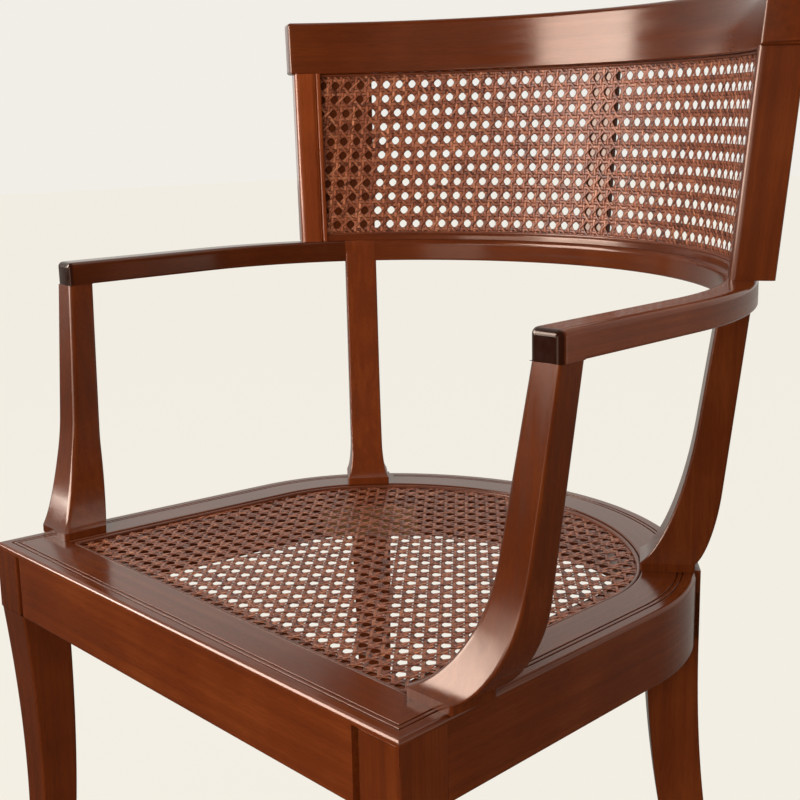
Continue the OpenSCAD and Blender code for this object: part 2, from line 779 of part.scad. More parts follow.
module dowel(grow = 0)
    translate([0, 0, arm_z + dowel_in_arm - dowel_l - grow])
        cylinder(h = dowel_l + 2 * grow, r = dowel_r + grow);

module post_screw() translate([0, 0, rail_z]) {
    cylinder(h = rail_h + post_screw_bite, r = screw_r);
    cylinder(h = screw_head_h, r = screw_head_r);
}

module arm_post_screws() color(metal) for (s = [0, 1]) mirror([s, 0, 0]) {
    translate(front_screw_at()) post_screw();
    rear_post_frame() translate([rear_screw_x, 0]) post_screw();
}

module arm_post_dowels() color(cane_colour)
    for (s = [0, 1]) mirror([s, 0, 0]) translate(front_dowel_at()) dowel();

// Arm rails and back bow

round_steps = 4;
function quarter(cx, cy, r, a0) =
    [for (i = [0 : round_steps]) let (a = a0 + 90 * i / round_steps) [cx + r * cos(a), cy + r * sin(a)]];

// Section of the arm rail about its centre line, with soft top edges.
module arm_section() {
    x = arm_w / 2;
    r = arm_round;
    q = arm_lower_round;
    polygon(concat(
        quarter(x - r, arm_h - r, r, 0), quarter(-x + r, arm_h - r, r, 90),
        quarter(-x + q, q, q, 180), quarter(x - q, q, q, 270)
    ));
}

module arm_rail_body() {
    a = atan(arm_taper);
    difference() {
        union() {
            translate([corner_x(arm), corner_y(arm), 0]) rotate([0, 0, a])
                translate([arm_side_r, 0, 0]) rotate([90, 0, 0]) linear_extrude(far) arm_section();
            corner_sweep(arm, a, head_a0) translate([arm_side_r, 0]) arm_section();
        }
        translate([0, -far * 2 + arm_setback, -far / 2]) cube([far, far * 2, far]);
    }
}

// Pins across the joints on both sides of a rear post's head.
module joint_pins(grow) {
    for (a = [head_a0, head_a1], u = [-1, 1]) {
        p = corner_point(arm, arm_side_r, a);
        translate([p[0], p[1], arm_h / 2]) rotate([0, 0, a])
            translate([u * arm_w / 4, 0, 0]) rotate([90, 0, 0])
                cylinder(h = joint_dowel_l + 2 * grow, r = joint_dowel_r + grow, center = true);
    }
}

module arm_pins_cut() {
    translate(front_dowel_at()) translate([0, 0, -1])
        cylinder(h = dowel_in_arm + 1 + fit_gap, r = dowel_r + fit_gap);
    stile_screw_spot() translate([0, 0, -1]) {
        cylinder(h = arm_h + 2, r = screw_r + fit_gap);
        cylinder(h = screw_head_h + 1 + fit_gap, r = screw_head_r + fit_gap);
    }
    joint_pins(fit_gap);
}

module arm_rail() color(wood) arm_frame() difference() {
    arm_rail_body();
    arm_pins_cut();
}

module back_bow() color(wood) arm_frame() difference() {
    back_sweep(arm) translate([arm_back_r, 0]) arm_section();
    for (s = [0, 1]) mirror([s, 0, 0]) joint_pins(fit_gap);
}

module arm_rail_dowels() color(cane_colour) arm_frame()
    for (s = [0, 1]) mirror([s, 0, 0]) joint_pins(0);

// Back

function back_point(r, a) = [r * cos(a), back_cy + r * sin(a)];

module stile_screw_spot() {
    p = back_point(stile_foot_r + stile_screw_in, stile_angle);
    translate([p[0], p[1], 0]) children();
}

// Frame on the inner face of a stile at the top of the arm rail: +X out, +Y along the back.
module stile_frame() {
    p = back_point(stile_foot_r, stile_angle);
    translate([p[0], p[1], arm_h]) rotate([0, 0, stile_angle]) rotate([0, back_lean, 0]) children();
}

// How far the curved cane bows inside its straight groove.
cane_bow = back_r * (1 - cos(asin((stile_w - back_groove) / 2 / back_r)));

// Plan of a stile: rounded front corners, flat face, quirk and bead beside the cane, cane groove.
module stile_2d() {
    w = stile_w / 2;
    r = stile_round;
    q = stile_arris;
    b = bead_w / 2;
    g = cane_t / 2 + groove_gap;
    difference() {
        union() {
            polygon(concat(
                quarter(r, -w + r, r, 180), quarter(stile_d - q, -w + q, q, 270),
                quarter(stile_d - q, w - q, q, 0),
                [[b, w], [b, w - bead_w], [0, w - bead_w - quirk_d]]
            ));
            translate([b, w - b]) circle(b);
        }
        translate([-1, w - bead_w - quirk_d / 2]) square([1 + quirk_d, quirk_d / 2]);
        translate([stile_inset - cane_bow - g, w - back_groove]) square([2 * g, back_groove + 1]);
    }
}

module stile() color(wood) arm_frame() difference() {
    stile_frame() translate([0, 0, -stile_d]) linear_extrude(back_h + 3 * stile_d) stile_2d();
    translate([-far / 2, 0, arm_h - far]) cube([far, far, far]);
    translate([-far / 2, 0, crest_z]) cube([far, far, far]);
    stile_screw_spot() translate([0, 0, arm_h - 1])
        cylinder(h = stile_bite + 1 + fit_gap, r = screw_r + fit_gap);
    crest_dowel_spot() translate([0, 0, -crest_dowel_l / 2 - fit_gap])
        cylinder(h = crest_dowel_l, r = dowel_r + fit_gap);
}

module stile_screws() color(metal) arm_frame() for (s = [0, 1]) mirror([s, 0, 0]) stile_screw_spot() {
    cylinder(h = arm_h + stile_bite, r = screw_r);
    cylinder(h = screw_head_h, r = screw_head_r);
}

// Middle of a stile's top, where a dowel enters the crest.
module crest_dowel_spot() {
    p = back_point(stile_foot_r + stile_d / 2 + back_grow * (crest_z - arm_h), stile_angle);
    translate([p[0], p[1], crest_z]) children();
}

module crest_dowels() color(cane_colour) arm_frame() for (s = [0, 1]) mirror([s, 0, 0])
    crest_dowel_spot() translate([0, 0, -crest_dowel_l / 2]) cylinder(h = crest_dowel_l, r = dowel_r);

function back_at(u, z) = back_r + u + back_grow * (z - arm_h);

// Band of the leaning back between two heights and two distances from the cane, from angle a0 on each side.
module back_band(a0, z0, z1, u0, u1)
    translate([0, back_cy, 0]) rotate([0, 0, a0]) rotate_extrude(angle = 180 - 2 * a0)
        polygon([[back_at(u0, z0), z0], [back_at(u1, z0), z0], [back_at(u1, z1), z1], [back_at(u0, z1), z1]]);

stile_front_angle = stile_angle - asin(stile_w / 2 / back_r);
cane_gap = cane_t / 2 + groove_gap;

module crest_rail() color(wood) arm_frame() difference() {
    back_band(stile_front_angle - crest_overhang, crest_z, crest_z + crest_h, crest_in, crest_in + crest_t);
    back_band(cane_angle - 1, crest_z - 1, crest_z + back_groove, -cane_gap, cane_gap);
    for (s = [0, 1]) mirror([s, 0, 0])
        crest_dowel_spot() translate([0, 0, -1])
            cylinder(h = crest_dowel_l / 2 + 1 + fit_gap, r = dowel_r + fit_gap);
}

// Everything past the caned side of both stiles, or past a depth inside it.
module stile_shadow(depth) for (s = [0, 1]) mirror([s, 0, 0])
    stile_frame() translate([-far / 2, -far + stile_w / 2 - depth, -stile_d]) cube([far, far, far]);

module lower_slip() color(wood) arm_frame() difference() {
    back_band(stile_angle, arm_h, arm_h + slip_h, -slip_t / 2, slip_t / 2);
    stile_shadow(0);
    back_band(stile_angle, arm_h + slip_h - cane_seat, arm_h + slip_h + 1, -cane_gap, cane_gap);
}

module back_cane() color(cane_colour) arm_frame() difference() {
    back_band(stile_angle, arm_h + slip_h - cane_seat + fit_gap, crest_z + back_groove - fit_gap,
        -cane_t / 2, cane_t / 2);
    stile_shadow(back_groove - fit_gap);
}

module back_spline() color(wood) arm_frame() difference() {
    union() {
        back_band(stile_angle, arm_h + slip_h, arm_h + slip_h + spline_bead,
            -cane_t / 2 - spline_bead, -cane_t / 2);
        back_band(stile_angle, crest_z - spline_bead, crest_z, -cane_t / 2 - spline_bead, -cane_t / 2);
    }
    stile_shadow(0);
}

// Band behind the cane, from the slip to the crest, out of which the uprights are cut.
module upright_band() back_band(stile_angle, arm_h + slip_h, crest_z, cane_gap, cane_gap + upright_t);

module side_back_upright() color(wood) arm_frame() difference() {
    upright_band();
    stile_shadow(0);
    translate([0, back_cy, 0]) rotate([0, 0, upright_angle]) translate([-far, 0, 0]) cube([2 * far, far, far]);
}

module middle_back_upright() color(wood) arm_frame() intersection() {
    upright_band();
    translate([-upright_w / 2, back_cy, 0]) cube([upright_w, far, far]);
}

place() front_seat_rail();
place() left_side() side_seat_rail();  // left_seat_rail
place() side_seat_rail();  // right_seat_rail
place() back_seat_rail();
place() left_side() front_leg();  // front_left_leg
place() front_leg();  // front_right_leg
place() left_side() rear_leg();  // rear_left_leg
place() rear_leg();  // rear_right_leg
place() left_side() glide(front_toe_at());  // front_left_glide
place() glide(front_toe_at());  // front_right_glide
place() left_side() glide(rear_toe_at());  // rear_left_glide
place() glide(rear_toe_at());  // rear_right_glide
place() left_side() corner_block(false);  // front_left_corner_block
place() corner_block(false);  // front_right_corner_block
place() left_side() corner_block(true);  // rear_left_corner_block
place() corner_block(true);  // rear_right_corner_block
place() corner_block_screws();
place() seat_cane();
place() seat_spline();
place() left_side() front_arm_post();  // front_left_arm_post
place() front_arm_post();  // front_right_arm_post
place() left_side() rear_arm_post();  // rear_left_arm_post
place() rear_arm_post();  // rear_right_arm_post
place() arm_post_screws();
place() arm_post_dowels();
place() left_side() arm_rail();  // left_arm_rail
place() arm_rail();  // right_arm_rail
place() back_bow();
place() arm_rail_dowels();
place() left_side() stile();  // left_stile
place() stile();  // right_stile
place() stile_screws();
place() crest_rail();
place() crest_dowels();
place() lower_slip();
place() back_cane();
place() back_spline();
place() left_side() side_back_upright();  // left_back_upright
place() side_back_upright();  // right_back_upright
place() middle_back_upright();
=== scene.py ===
"""Looks of an open-arm klismos chair: polished wooden frame, caned seat and curved caned back.

Sizes in the classes are millimetres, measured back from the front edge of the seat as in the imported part.
"""

import json
import logging
import math
from collections.abc import Callable, Sequence
from dataclasses import dataclass, field, replace
from enum import Enum

import bmesh
import bpy
import numpy as np
from mathutils import Matrix, Vector


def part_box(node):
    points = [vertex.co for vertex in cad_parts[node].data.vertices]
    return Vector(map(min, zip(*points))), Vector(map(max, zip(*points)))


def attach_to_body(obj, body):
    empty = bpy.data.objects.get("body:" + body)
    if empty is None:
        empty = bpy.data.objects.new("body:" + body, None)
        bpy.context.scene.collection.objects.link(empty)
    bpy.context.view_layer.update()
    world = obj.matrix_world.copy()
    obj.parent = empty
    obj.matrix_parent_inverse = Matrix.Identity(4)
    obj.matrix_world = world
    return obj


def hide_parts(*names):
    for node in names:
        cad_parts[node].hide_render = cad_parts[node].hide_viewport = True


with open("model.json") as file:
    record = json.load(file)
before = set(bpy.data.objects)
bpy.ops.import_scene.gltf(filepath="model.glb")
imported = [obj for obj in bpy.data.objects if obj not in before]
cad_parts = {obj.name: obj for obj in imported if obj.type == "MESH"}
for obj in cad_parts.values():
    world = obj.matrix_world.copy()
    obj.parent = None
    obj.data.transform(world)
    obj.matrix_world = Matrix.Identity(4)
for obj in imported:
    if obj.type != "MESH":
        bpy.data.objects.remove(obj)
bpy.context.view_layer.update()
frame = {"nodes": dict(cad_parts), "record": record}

BODY = "root"
MM = 0.001
# Depth of the chair's middle behind the front edge of its seat, where the part's frame has its origin.
MID_Y = -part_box("front_seat_rail")[0].y / MM
# Turns a point of the right half into its mirror image on the left.
MIRROR = np.array([-1, 1, 1])
# Turns distances inwards from an edge into distances along a track's outward normals.
INWARD = np.array([-1, 1])
# Rings of a sweep stand no further apart than this, in millimetres.
RING_GAP = 5.0
# Two rings this far apart, in millimetres, make a square step in a sweep.
STEP_IN = 0.01
# Points of a mesh that lie this close together, in metres, become one.
WELD = 3e-5
Array = np.ndarray
log = logging.getLogger("klismos")


# ---------------------------------------------------------------- colours and shader nodes


def linear(hex_value: str) -> tuple[float, float, float, float]:
    """Turns an sRGB hex colour into Blender's linear colour.

    Args:
        hex_value: Colour as "#rrggbb".

    Returns:
        Linear red, green, blue and an alpha of 1.
    """
    parts = [int(hex_value[i:i + 2], 16) / 255 for i in (1, 3, 5)]
    made = [p / 12.92 if p <= 0.04045 else ((p + 0.055) / 1.055) ** 2.4 for p in parts]
    return (made[0], made[1], made[2], 1.0)


def add_node(tree: bpy.types.NodeTree, kind: str, inputs: dict[str | int, object] | None = None,
             **settings: object) -> bpy.types.Node:
    """Adds one node to a tree.

    Args:
        tree: Shader or geometry tree.
        kind: Node type's identifier.
        inputs: Values or sockets to link, by input name or index.
        settings: Properties of the node.

    Returns:
        The new node.
    """
    node = tree.nodes.new(kind)
    for name, value in settings.items():
        setattr(node, name, value)
    for name, value in (inputs or {}).items():
        socket = node.inputs[name]
        if isinstance(value, bpy.types.NodeSocket):
            tree.links.new(value, socket)
        else:
            socket.default_value = value
    return node


def blank_material(name: str) -> bpy.types.Material:
    """Makes a new material with an empty node tree.

    Args:
        name: Name of the finish.

    Returns:
        The material.
    """
    mat = bpy.data.materials.new(name)
    mat.use_nodes = True
    mat.node_tree.nodes.clear()
    return mat


@dataclass(frozen=True)
class Stain:
    """Three depths of one stain, spread by a pattern from the dark patches to the light ones."""

    dark: str
    body: str
    light: str
    dark_at: float = 0.3
    light_at: float = 0.7

    def spread(self, tree: bpy.types.NodeTree, pattern: bpy.types.NodeSocket,
               shade: bpy.types.NodeSocket) -> bpy.types.NodeSocket:
        """Colours a pattern and deepens it.

        Args:
            tree: The finish's tree.
            pattern: Values about a half, low where the stain is dark.
            shade: Share of the colour's light that is left.

        Returns:
            The stain's colour.
        """
        ramp = add_node(tree, "ShaderNodeValToRGB", {"Fac": pattern})
        first, last = ramp.color_ramp.elements
        first.position, first.color = self.dark_at, linear(self.dark)
        last.position, last.color = self.light_at, linear(self.light)
        ramp.color_ramp.elements.new(0.5).color = linear(self.body)
        return add_node(tree, "ShaderNodeVectorMath", {0: ramp.outputs["Color"], "Scale": shade},
                        operation="SCALE").outputs["Vector"]


class Grain(Enum):
    """Where a finish reads its grain direction from."""

    SWEPT = "grain attribute that follows the piece"
    ALONG_Y = "object y axis"
    ALONG_Z = "object z axis"


@dataclass(frozen=True)
class StainedWood:
    """Close-grained hardwood, stained red-brown under semi-gloss lacquer.

    The stain evens the colour out, soft bands and fine pores remain, and the lacquer gives a clear reflection.
    """

    name: str = "stained_lacquered_hardwood"
    light: str = "#763a19"
    body: str = "#652d12"
    dark: str = "#57260f"
    end_grain: str = "#2a120a"
    band_mm: float = 6.0
    pore_mm: float = 0.5
    roughness: float = 0.17
    lacquer: float = 0.0
    ior: float = 1.45
    lacquer_tint: str = "#f3ddd0"
    grain: Grain = Grain.SWEPT

    def build(self) -> bpy.types.Material:
        """Makes the material.

        Returns:
            The finished material.
        """
        mat = blank_material(self.name)
        t = mat.node_tree
        if self.grain is Grain.SWEPT:
            coords = add_node(t, "ShaderNodeAttribute", attribute_name="grain").outputs["Vector"]
            end = add_node(t, "ShaderNodeAttribute", attribute_name="end_face").outputs["Fac"]
        else:
            turn = {Grain.ALONG_Y: (0, 0, math.pi / 2), Grain.ALONG_Z: (0, math.pi / 2, 0)}[self.grain]
            source = add_node(t, "ShaderNodeTexCoord").outputs["Object"]
            coords = add_node(t, "ShaderNodeMapping", {"Vector": source, "Rotation": turn}).outputs["Vector"]
            end = None
        band = 1 / (self.band_mm * MM)
        pore = 1 / (self.pore_mm * MM)
        # Soft colour bands a few millimetres wide that wander along the piece.
        wide = add_node(t, "ShaderNodeMapping", {"Vector": coords, "Scale": (band * 0.02, band, band)})
        bands = add_node(t, "ShaderNodeTexNoise", {"Vector": wide.outputs["Vector"], "Scale": 1.0, "Detail": 3.0,
                                                  "Roughness": 0.55, "Distortion": 0.4})
        # Cloudy depth of the stain over a hand's width.
        cloud = add_node(t, "ShaderNodeTexNoise", {"Vector": coords, "Scale": 14.0, "Detail": 2.0})
        # Pores and fibres, drawn about twice their real width so that they show.
        fine = add_node(t, "ShaderNodeMapping", {"Vector": coords, "Scale": (pore * 0.045, pore, pore)})
        pores = add_node(t, "ShaderNodeTexNoise", {"Vector": fine.outputs["Vector"], "Scale": 1.0, "Detail": 4.0,
                                                  "Roughness": 0.6})
        mixed = add_node(t, "ShaderNodeMath", {0: bands.outputs["Fac"], 1: cloud.outputs["Fac"]}, operation="ADD")
        pattern = add_node(t, "ShaderNodeMath", {0: mixed.outputs[0], 1: 0.5}, operation="MULTIPLY")
        depth = add_node(t, "ShaderNodeMapRange", {"Value": pores.outputs["Fac"], "From Min": 0.36, "From Max": 0.56,
                                                  "To Min": 0.8, "To Max": 1.0})
        colour = Stain(self.dark, self.body, self.light).spread(t, pattern.outputs[0], depth.outputs["Result"])
        if end is not None:
            # Each piece is scaled by its tone, partly stain depth and partly painted light and shade, and cut ends
            # drank more stain.
            tone = add_node(t, "ShaderNodeAttribute", attribute_name="tone")
            stain_and_painted_light = add_node(t, "ShaderNodeVectorMath", {0: colour, "Scale": tone.outputs["Fac"]}, operation="SCALE")
            colour = add_node(t, "ShaderNodeMix", {0: end, 6: stain_and_painted_light.outputs["Vector"], 7: linear(self.end_grain)},
                              data_type="RGBA").outputs[2]
        rough = add_node(t, "ShaderNodeMapRange", {"Value": bands.outputs["Fac"], "From Min": 0.3, "From Max": 0.7,
                                                  "To Min": self.roughness + 0.05, "To Max": self.roughness - 0.04})
        bump = add_node(t, "ShaderNodeBump", {"Height": pores.outputs["Fac"], "Strength": 0.08, "Distance": 0.0002})
        shader = add_node(t, "ShaderNodeBsdfPrincipled", {
            "Base Color": colour, "Roughness": rough.outputs["Result"], "IOR": self.ior, "Coat Weight": self.lacquer,
            "Coat Roughness": 0.08, "Specular Tint": linear(self.lacquer_tint), "Normal": bump.outputs["Normal"]})
        add_node(t, "ShaderNodeOutputMaterial", {"Surface": shader.outputs["BSDF"]})
        return mat


@dataclass(frozen=True)
class StainedCane:
    """Split rattan skin, stained with the frame: glossy on its outer side, each strand a little different."""

    name: str = "stained_rattan_cane"
    light: str = "#bf7a58"
    body: str = "#935034"
    dark: str = "#582a1a"
    # Painted shade: how dark a strand's sides are drawn, as the shaded gaps between strands.
    edge: float = 0.3
    roughness: float = 0.38

    def build(self) -> bpy.types.Material:
        """Makes the material.

        Returns:
            The finished material.
        """
        mat = blank_material(self.name)
        t = mat.node_tree
        coords = add_node(t, "ShaderNodeAttribute", attribute_name="grain").outputs["Vector"]
        # Stain patches every 30 mm or so along a strand. The strands lie so far apart in this pattern that each is
        # different, and fibres a third of a millimetre wide run along them.
        long_scale = add_node(t, "ShaderNodeMapping", {"Vector": coords, "Scale": (30.0, 1.0, 900.0)})
        patch = add_node(t, "ShaderNodeTexNoise", {"Vector": long_scale.outputs["Vector"], "Scale": 1.0, "Detail": 3.0,
                                                  "Roughness": 0.6})
        fibre = add_node(t, "ShaderNodeMapping", {"Vector": coords, "Scale": (180.0, 1.0, 3000.0)})
        fibres = add_node(t, "ShaderNodeTexNoise", {"Vector": fibre.outputs["Vector"], "Scale": 1.0, "Detail": 2.0})
        line = add_node(t, "ShaderNodeMapRange", {"Value": fibres.outputs["Fac"], "From Min": 0.35, "From Max": 0.65,
                                                 "To Min": 0.8, "To Max": 1.1})
        stain = Stain(self.dark, self.body, self.light, dark_at=0.33, light_at=0.68)
        colour = stain.spread(t, patch.outputs["Fac"], line.outputs["Result"])
        # Strands of one family are drawn lighter than those of another, and their sides are darkened as painted shade
        # of the gaps between strands.
        tone = add_node(t, "ShaderNodeAttribute", attribute_name="tone")
        gap_shade = add_node(t, "ShaderNodeAttribute", attribute_name="gap_shade")
        edge = add_node(t, "ShaderNodeMapRange", {"Value": gap_shade.outputs["Fac"], "From Min": 0.5, "From Max": 1.0,
                                                 "To Min": 1.12, "To Max": self.edge})
        both = add_node(t, "ShaderNodeMath", {0: tone.outputs["Fac"], 1: edge.outputs["Result"]}, operation="MULTIPLY")
        stain_and_painted_light = add_node(t, "ShaderNodeVectorMath", {0: colour, "Scale": both.outputs[0]}, operation="SCALE")
        bump = add_node(t, "ShaderNodeBump", {"Height": fibres.outputs["Fac"], "Strength": 0.15, "Distance": 0.0002})
        shader = add_node(t, "ShaderNodeBsdfPrincipled", {
            "Base Color": stain_and_painted_light.outputs["Vector"], "Roughness": self.roughness, "IOR": 1.3, "Coat Weight": 0.08,
            "Coat Roughness": 0.2, "Normal": bump.outputs["Normal"]})
        add_node(t, "ShaderNodeOutputMaterial", {"Surface": shader.outputs["BSDF"]})
        return mat


@dataclass(frozen=True)
class ZincSteel:
    """Bright zinc-plated steel of nail glides and screws: pale grey with a soft satin reflection."""

    name: str = "bright_zinc_plated_steel"
    colour: str = "#b9b6ad"
    roughness: float = 0.32

    def build(self) -> bpy.types.Material:
        """Makes the material.

        Returns:
            The finished material.
        """
        mat = blank_material(self.name)
        t = mat.node_tree
        coords = add_node(t, "ShaderNodeTexCoord").outputs["Object"]
        scuff = add_node(t, "ShaderNodeTexNoise", {"Vector": coords, "Scale": 900.0, "Detail": 3.0})
        rough = add_node(t, "ShaderNodeMapRange", {"Value": scuff.outputs["Fac"], "To Min": self.roughness - 0.08,
                                                  "To Max": self.roughness + 0.12})
        shader = add_node(t, "ShaderNodeBsdfPrincipled", {"Base Color": linear(self.colour), "Metallic": 1.0,
                                                         "Roughness": rough.outputs["Result"]})
        add_node(t, "ShaderNodeOutputMaterial", {"Surface": shader.outputs["BSDF"]})
        return mat


# ---------------------------------------------------------------- plan curves and sections


def heading(angle: float) -> Array:
    """Unit vector in plan at an angle from the x axis, in radians."""
    return np.array([math.cos(angle), math.sin(angle)])


def running_length(points: Array) -> Array:
    """Length from the first point to each point of a line."""
    return np.concatenate([[0], np.cumsum(np.linalg.norm(np.diff(points, axis=0), axis=1))])


@dataclass(frozen=True)
class Track:
    """A line in plan that a section follows, as dense points with outward normals."""

    points: Array
    normals: Array
    lengths: Array

    def at(self, where: Array) -> tuple[Array, Array]:
        """Points and unit normals at some lengths along the track.

        Args:
            where: Lengths from the start, in millimetres.

        Returns:
            Points and unit outward normals.
        """
        p = np.stack([np.interp(where, self.lengths, self.points[:, i]) for i in (0, 1)], 1)
        n = np.stack([np.interp(where, self.lengths, self.normals[:, i]) for i in (0, 1)], 1)
        return p, n / np.linalg.norm(n, axis=1, keepdims=True)

    def length_where(self, value: Array, target: float) -> float:
        """Length at which a rising value over the track's points reaches a target."""
        return float(np.interp(target, value, self.lengths))


@dataclass(frozen=True)
class PlanCurve:
    """Half of a symmetric plan: a straight side, a corner arc tangent to it, and a back arc.

    Args:
        half_width: Half width at the front edge.
        taper: Loss of half width for each millimetre of depth.
        corner_r: Radius of the corner arc.
        seam: Angle at which the corner arc meets the back arc, in degrees.
        reach: Depth of the back's middle.
    """

    half_width: float
    taper: float
    corner_r: float
    seam: float
    reach: float

    @property
    def slope(self) -> float:
        """Length of the straight side per millimetre of depth."""
        return math.sqrt(1 + self.taper ** 2)

    @property
    def corner(self) -> Array:
        """Centre of the corner arc.

        Returns:
            Place in plan.
        """
        a = math.radians(self.seam)
        rise = 1 / math.cos(a) - math.tan(a)
        m = self.half_width - self.corner_r * self.slope
        y = (self.reach - self.corner_r - rise * m) / (1 - rise * self.taper)
        return np.array([m - self.taper * y, y])

    @property
    def back_r(self) -> float:
        """Radius of the back arc."""
        return self.corner_r + self.corner[0] / math.cos(math.radians(self.seam))

    @property
    def back_y(self) -> float:
        """Depth of the back arc's centre."""
        return self.reach - self.back_r

    def side_x(self, y: float, grow: float = 0.0) -> float:
        """Half width at a depth, grown outwards."""
        return self.half_width - self.taper * y + grow * self.slope

    def track(self, start_y: float = 0.0) -> Track:
        """The right half from a depth on the straight side to the middle of the back.

        Args:
            start_y: Depth at which the track begins.

        Returns:
            The dense track.
        """
        a0 = math.atan(self.taper)
        seam = math.radians(self.seam)
        corner = self.corner
        touch = corner + self.corner_r * heading(a0)
        y = np.linspace(start_y, touch[1], 400)
        side = np.stack([self.half_width - self.taper * y, y], 1)
        side_n = np.tile(heading(a0), (len(y), 1))
        a = np.linspace(a0, seam, 600)[1:]
        bend_n = np.stack([np.cos(a), np.sin(a)], 1)
        b = np.linspace(seam, math.pi / 2, 700)[1:]
        back_n = np.stack([np.cos(b), np.sin(b)], 1)
        points = np.concatenate([side, corner + self.corner_r * bend_n,
                                 np.array([0, self.back_y]) + self.back_r * back_n])
        return Track(points, np.concatenate([side_n, bend_n, back_n]), running_length(points))


def rounded(corners: Sequence[tuple[float, float, float]], steps: int = 4, support: float = 0.5) -> Array:
    """A closed section with rounded corners and a flat kept true beside each rounding.

    Args:
        corners: Corner points with their radius.
        steps: Segments in each rounding.
        support: Distance of the extra point that keeps a flat flat.

    Returns:
        Section points, in order.
    """
    made: list[Array] = []
    n = len(corners)
    for i, (x, y, r) in enumerate(corners):
        here = np.array([x, y])
        if r <= 0:
            made.append(here)
            continue
        before = here - np.array(corners[i - 1][:2])
        after = np.array(corners[(i + 1) % n][:2]) - here
        la, lb = np.linalg.norm(before), np.linalg.norm(after)
        before, after = before / la, after / lb
        turn = math.acos(float(np.clip(before @ after, -1, 1)))
        t = r * math.tan(turn / 2)
        extra = min(support, 0.3 * la, 0.3 * lb)
        start, end = here - before * t, here + after * t
        side = 1.0 if before[0] * after[1] - before[1] * after[0] > 0 else -1.0
        centre = start + r * side * np.array([-before[1], before[0]])
        a0 = math.atan2(*(start - centre)[::-1])
        made.append(start - before * extra)
        for k in range(steps + 1):
            a = a0 + side * turn * k / steps
            made.append(centre + r * np.array([math.cos(a), math.sin(a)]))
        made.append(end + after * extra)
    return np.array(made)


def inset(section: Array, depth: float) -> Array:
    """Moves a closed section inwards by a depth, for rounding off the end of a sweep.

    Args:
        section: Points of the section.
        depth: Distance of the move, negative for outwards.

    Returns:
        Points of the moved section.
    """
    ahead = np.roll(section, -1, 0) - section
    ahead /= np.maximum(np.linalg.norm(ahead, axis=1, keepdims=True), 1e-9)
    normal = np.stack([-ahead[:, 1], ahead[:, 0]], 1)
    normal = normal + np.roll(normal, 1, 0)
    normal /= np.maximum(np.linalg.norm(normal, axis=1, keepdims=True), 1e-9)
    area = np.sum(section[:, 0] * np.roll(section[:, 1], -1) - np.roll(section[:, 0], -1) * section[:, 1])
    return section + normal * depth * (1 if area > 0 else -1)


@dataclass
class Shell:
    """One closed skin of rings, with the grain's coordinates and a mark for end grain.

    A looped skin runs from its last ring back to its first, and has no end faces.
    """

    rings: Array
    grain: Array
    end_face: Array
    looped: bool = False

    @classmethod
    def loft(cls, rings: Sequence[Array] | Array, grain: Sequence[Array] | Array, looped: bool = False) -> "Shell":
        """A skin over rings, with no end grain."""
        made = np.array(rings)
        return cls(made, np.array(grain), np.zeros(made.shape[:2]), looped)

    @classmethod
    def upright(cls, rings: Sequence[Array] | Array, seed: float) -> "Shell":
        """A skin whose grain stands upright, moved sideways by a seed so that pieces differ."""
        made = np.array(rings)
        return cls.loft(made, np.stack([made[:, :, 2], made[:, :, 0] + seed, made[:, :, 1]], 2))

    def moved(self, rings: Array) -> "Shell":
        """The same skin with its rings elsewhere."""
        return replace(self, rings=rings)

    def mirrored(self) -> "Shell":
        """The same skin on the other side of the chair, cut from another part of the plank."""
        return replace(self, rings=self.rings * MIRROR,
                       grain=self.grain * np.array([1, -1, 1]) + np.array([0, 400, 90]))

    def faces(self) -> list[tuple[int, ...]]:
        """Makes the faces of the skin, all turned outwards.

        Returns:
            Corners of each face.
        """
        n, m, _ = self.rings.shape
        made = [(i * m + j, i * m + (j + 1) % m, (i + 1) % n * m + (j + 1) % m, (i + 1) % n * m + j)
                for i in range(n if self.looped else n - 1) for j in range(m)]
        if not self.looped:
            made.append(tuple(range(m - 1, -1, -1)))
            made.append(tuple((n - 1) * m + j for j in range(m)))
        inside_out = signed_volume(self.rings.reshape(-1, 3), made) < 0
        return [f[::-1] for f in made] if inside_out else made


@dataclass
class Piece:
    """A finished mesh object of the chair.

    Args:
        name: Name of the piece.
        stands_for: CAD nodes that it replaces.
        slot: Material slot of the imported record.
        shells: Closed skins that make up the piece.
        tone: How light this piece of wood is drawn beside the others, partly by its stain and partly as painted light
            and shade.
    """

    name: str
    stands_for: tuple[str, ...]
    slot: str
    shells: list[Shell] = field(default_factory=list)
    tone: float = 1.0

    def build(self, material: bpy.types.Material, smooth_deg: float = 32.0) -> None:
        """Makes the mesh, gives it its finish and hangs it on the chair's body.

        Args:
            material: The finish.
            smooth_deg: Faces that meet at less than this angle are shaded smooth.
        """
        faces: list[tuple[int, ...]] = []
        base = 0
        for shell in self.shells:
            faces += [tuple(base + k for k in f) for f in shell.faces()]
            base += shell.end_face.size
        points = np.concatenate([shell.rings.reshape(-1, 3) for shell in self.shells])
        mesh = bpy.data.meshes.new(self.name)
        mesh.from_pydata(in_frame(points).tolist(), [], faces)
        store(mesh, "grain", np.concatenate([shell.grain.reshape(-1, 3) for shell in self.shells]) * MM)
        store(mesh, "end_face", np.concatenate([shell.end_face.reshape(-1) for shell in self.shells]))
        store(mesh, "tone", np.full(len(points), self.tone))
        mesh.materials.append(material)
        tidy = bmesh.new()
        tidy.from_mesh(mesh)
        bmesh.ops.dissolve_degenerate(tidy, dist=WELD, edges=tidy.edges)
        bmesh.ops.triangulate(tidy, faces=[f for f in tidy.faces if len(f.verts) > 4], ngon_method="EAR_CLIP")
        tidy.to_mesh(mesh)
        tidy.free()
        mesh.shade_smooth()
        mesh.set_sharp_from_angle(angle=math.radians(smooth_deg))
        attach(place_in_scene(self.name, mesh), self.slot, *self.stands_for)


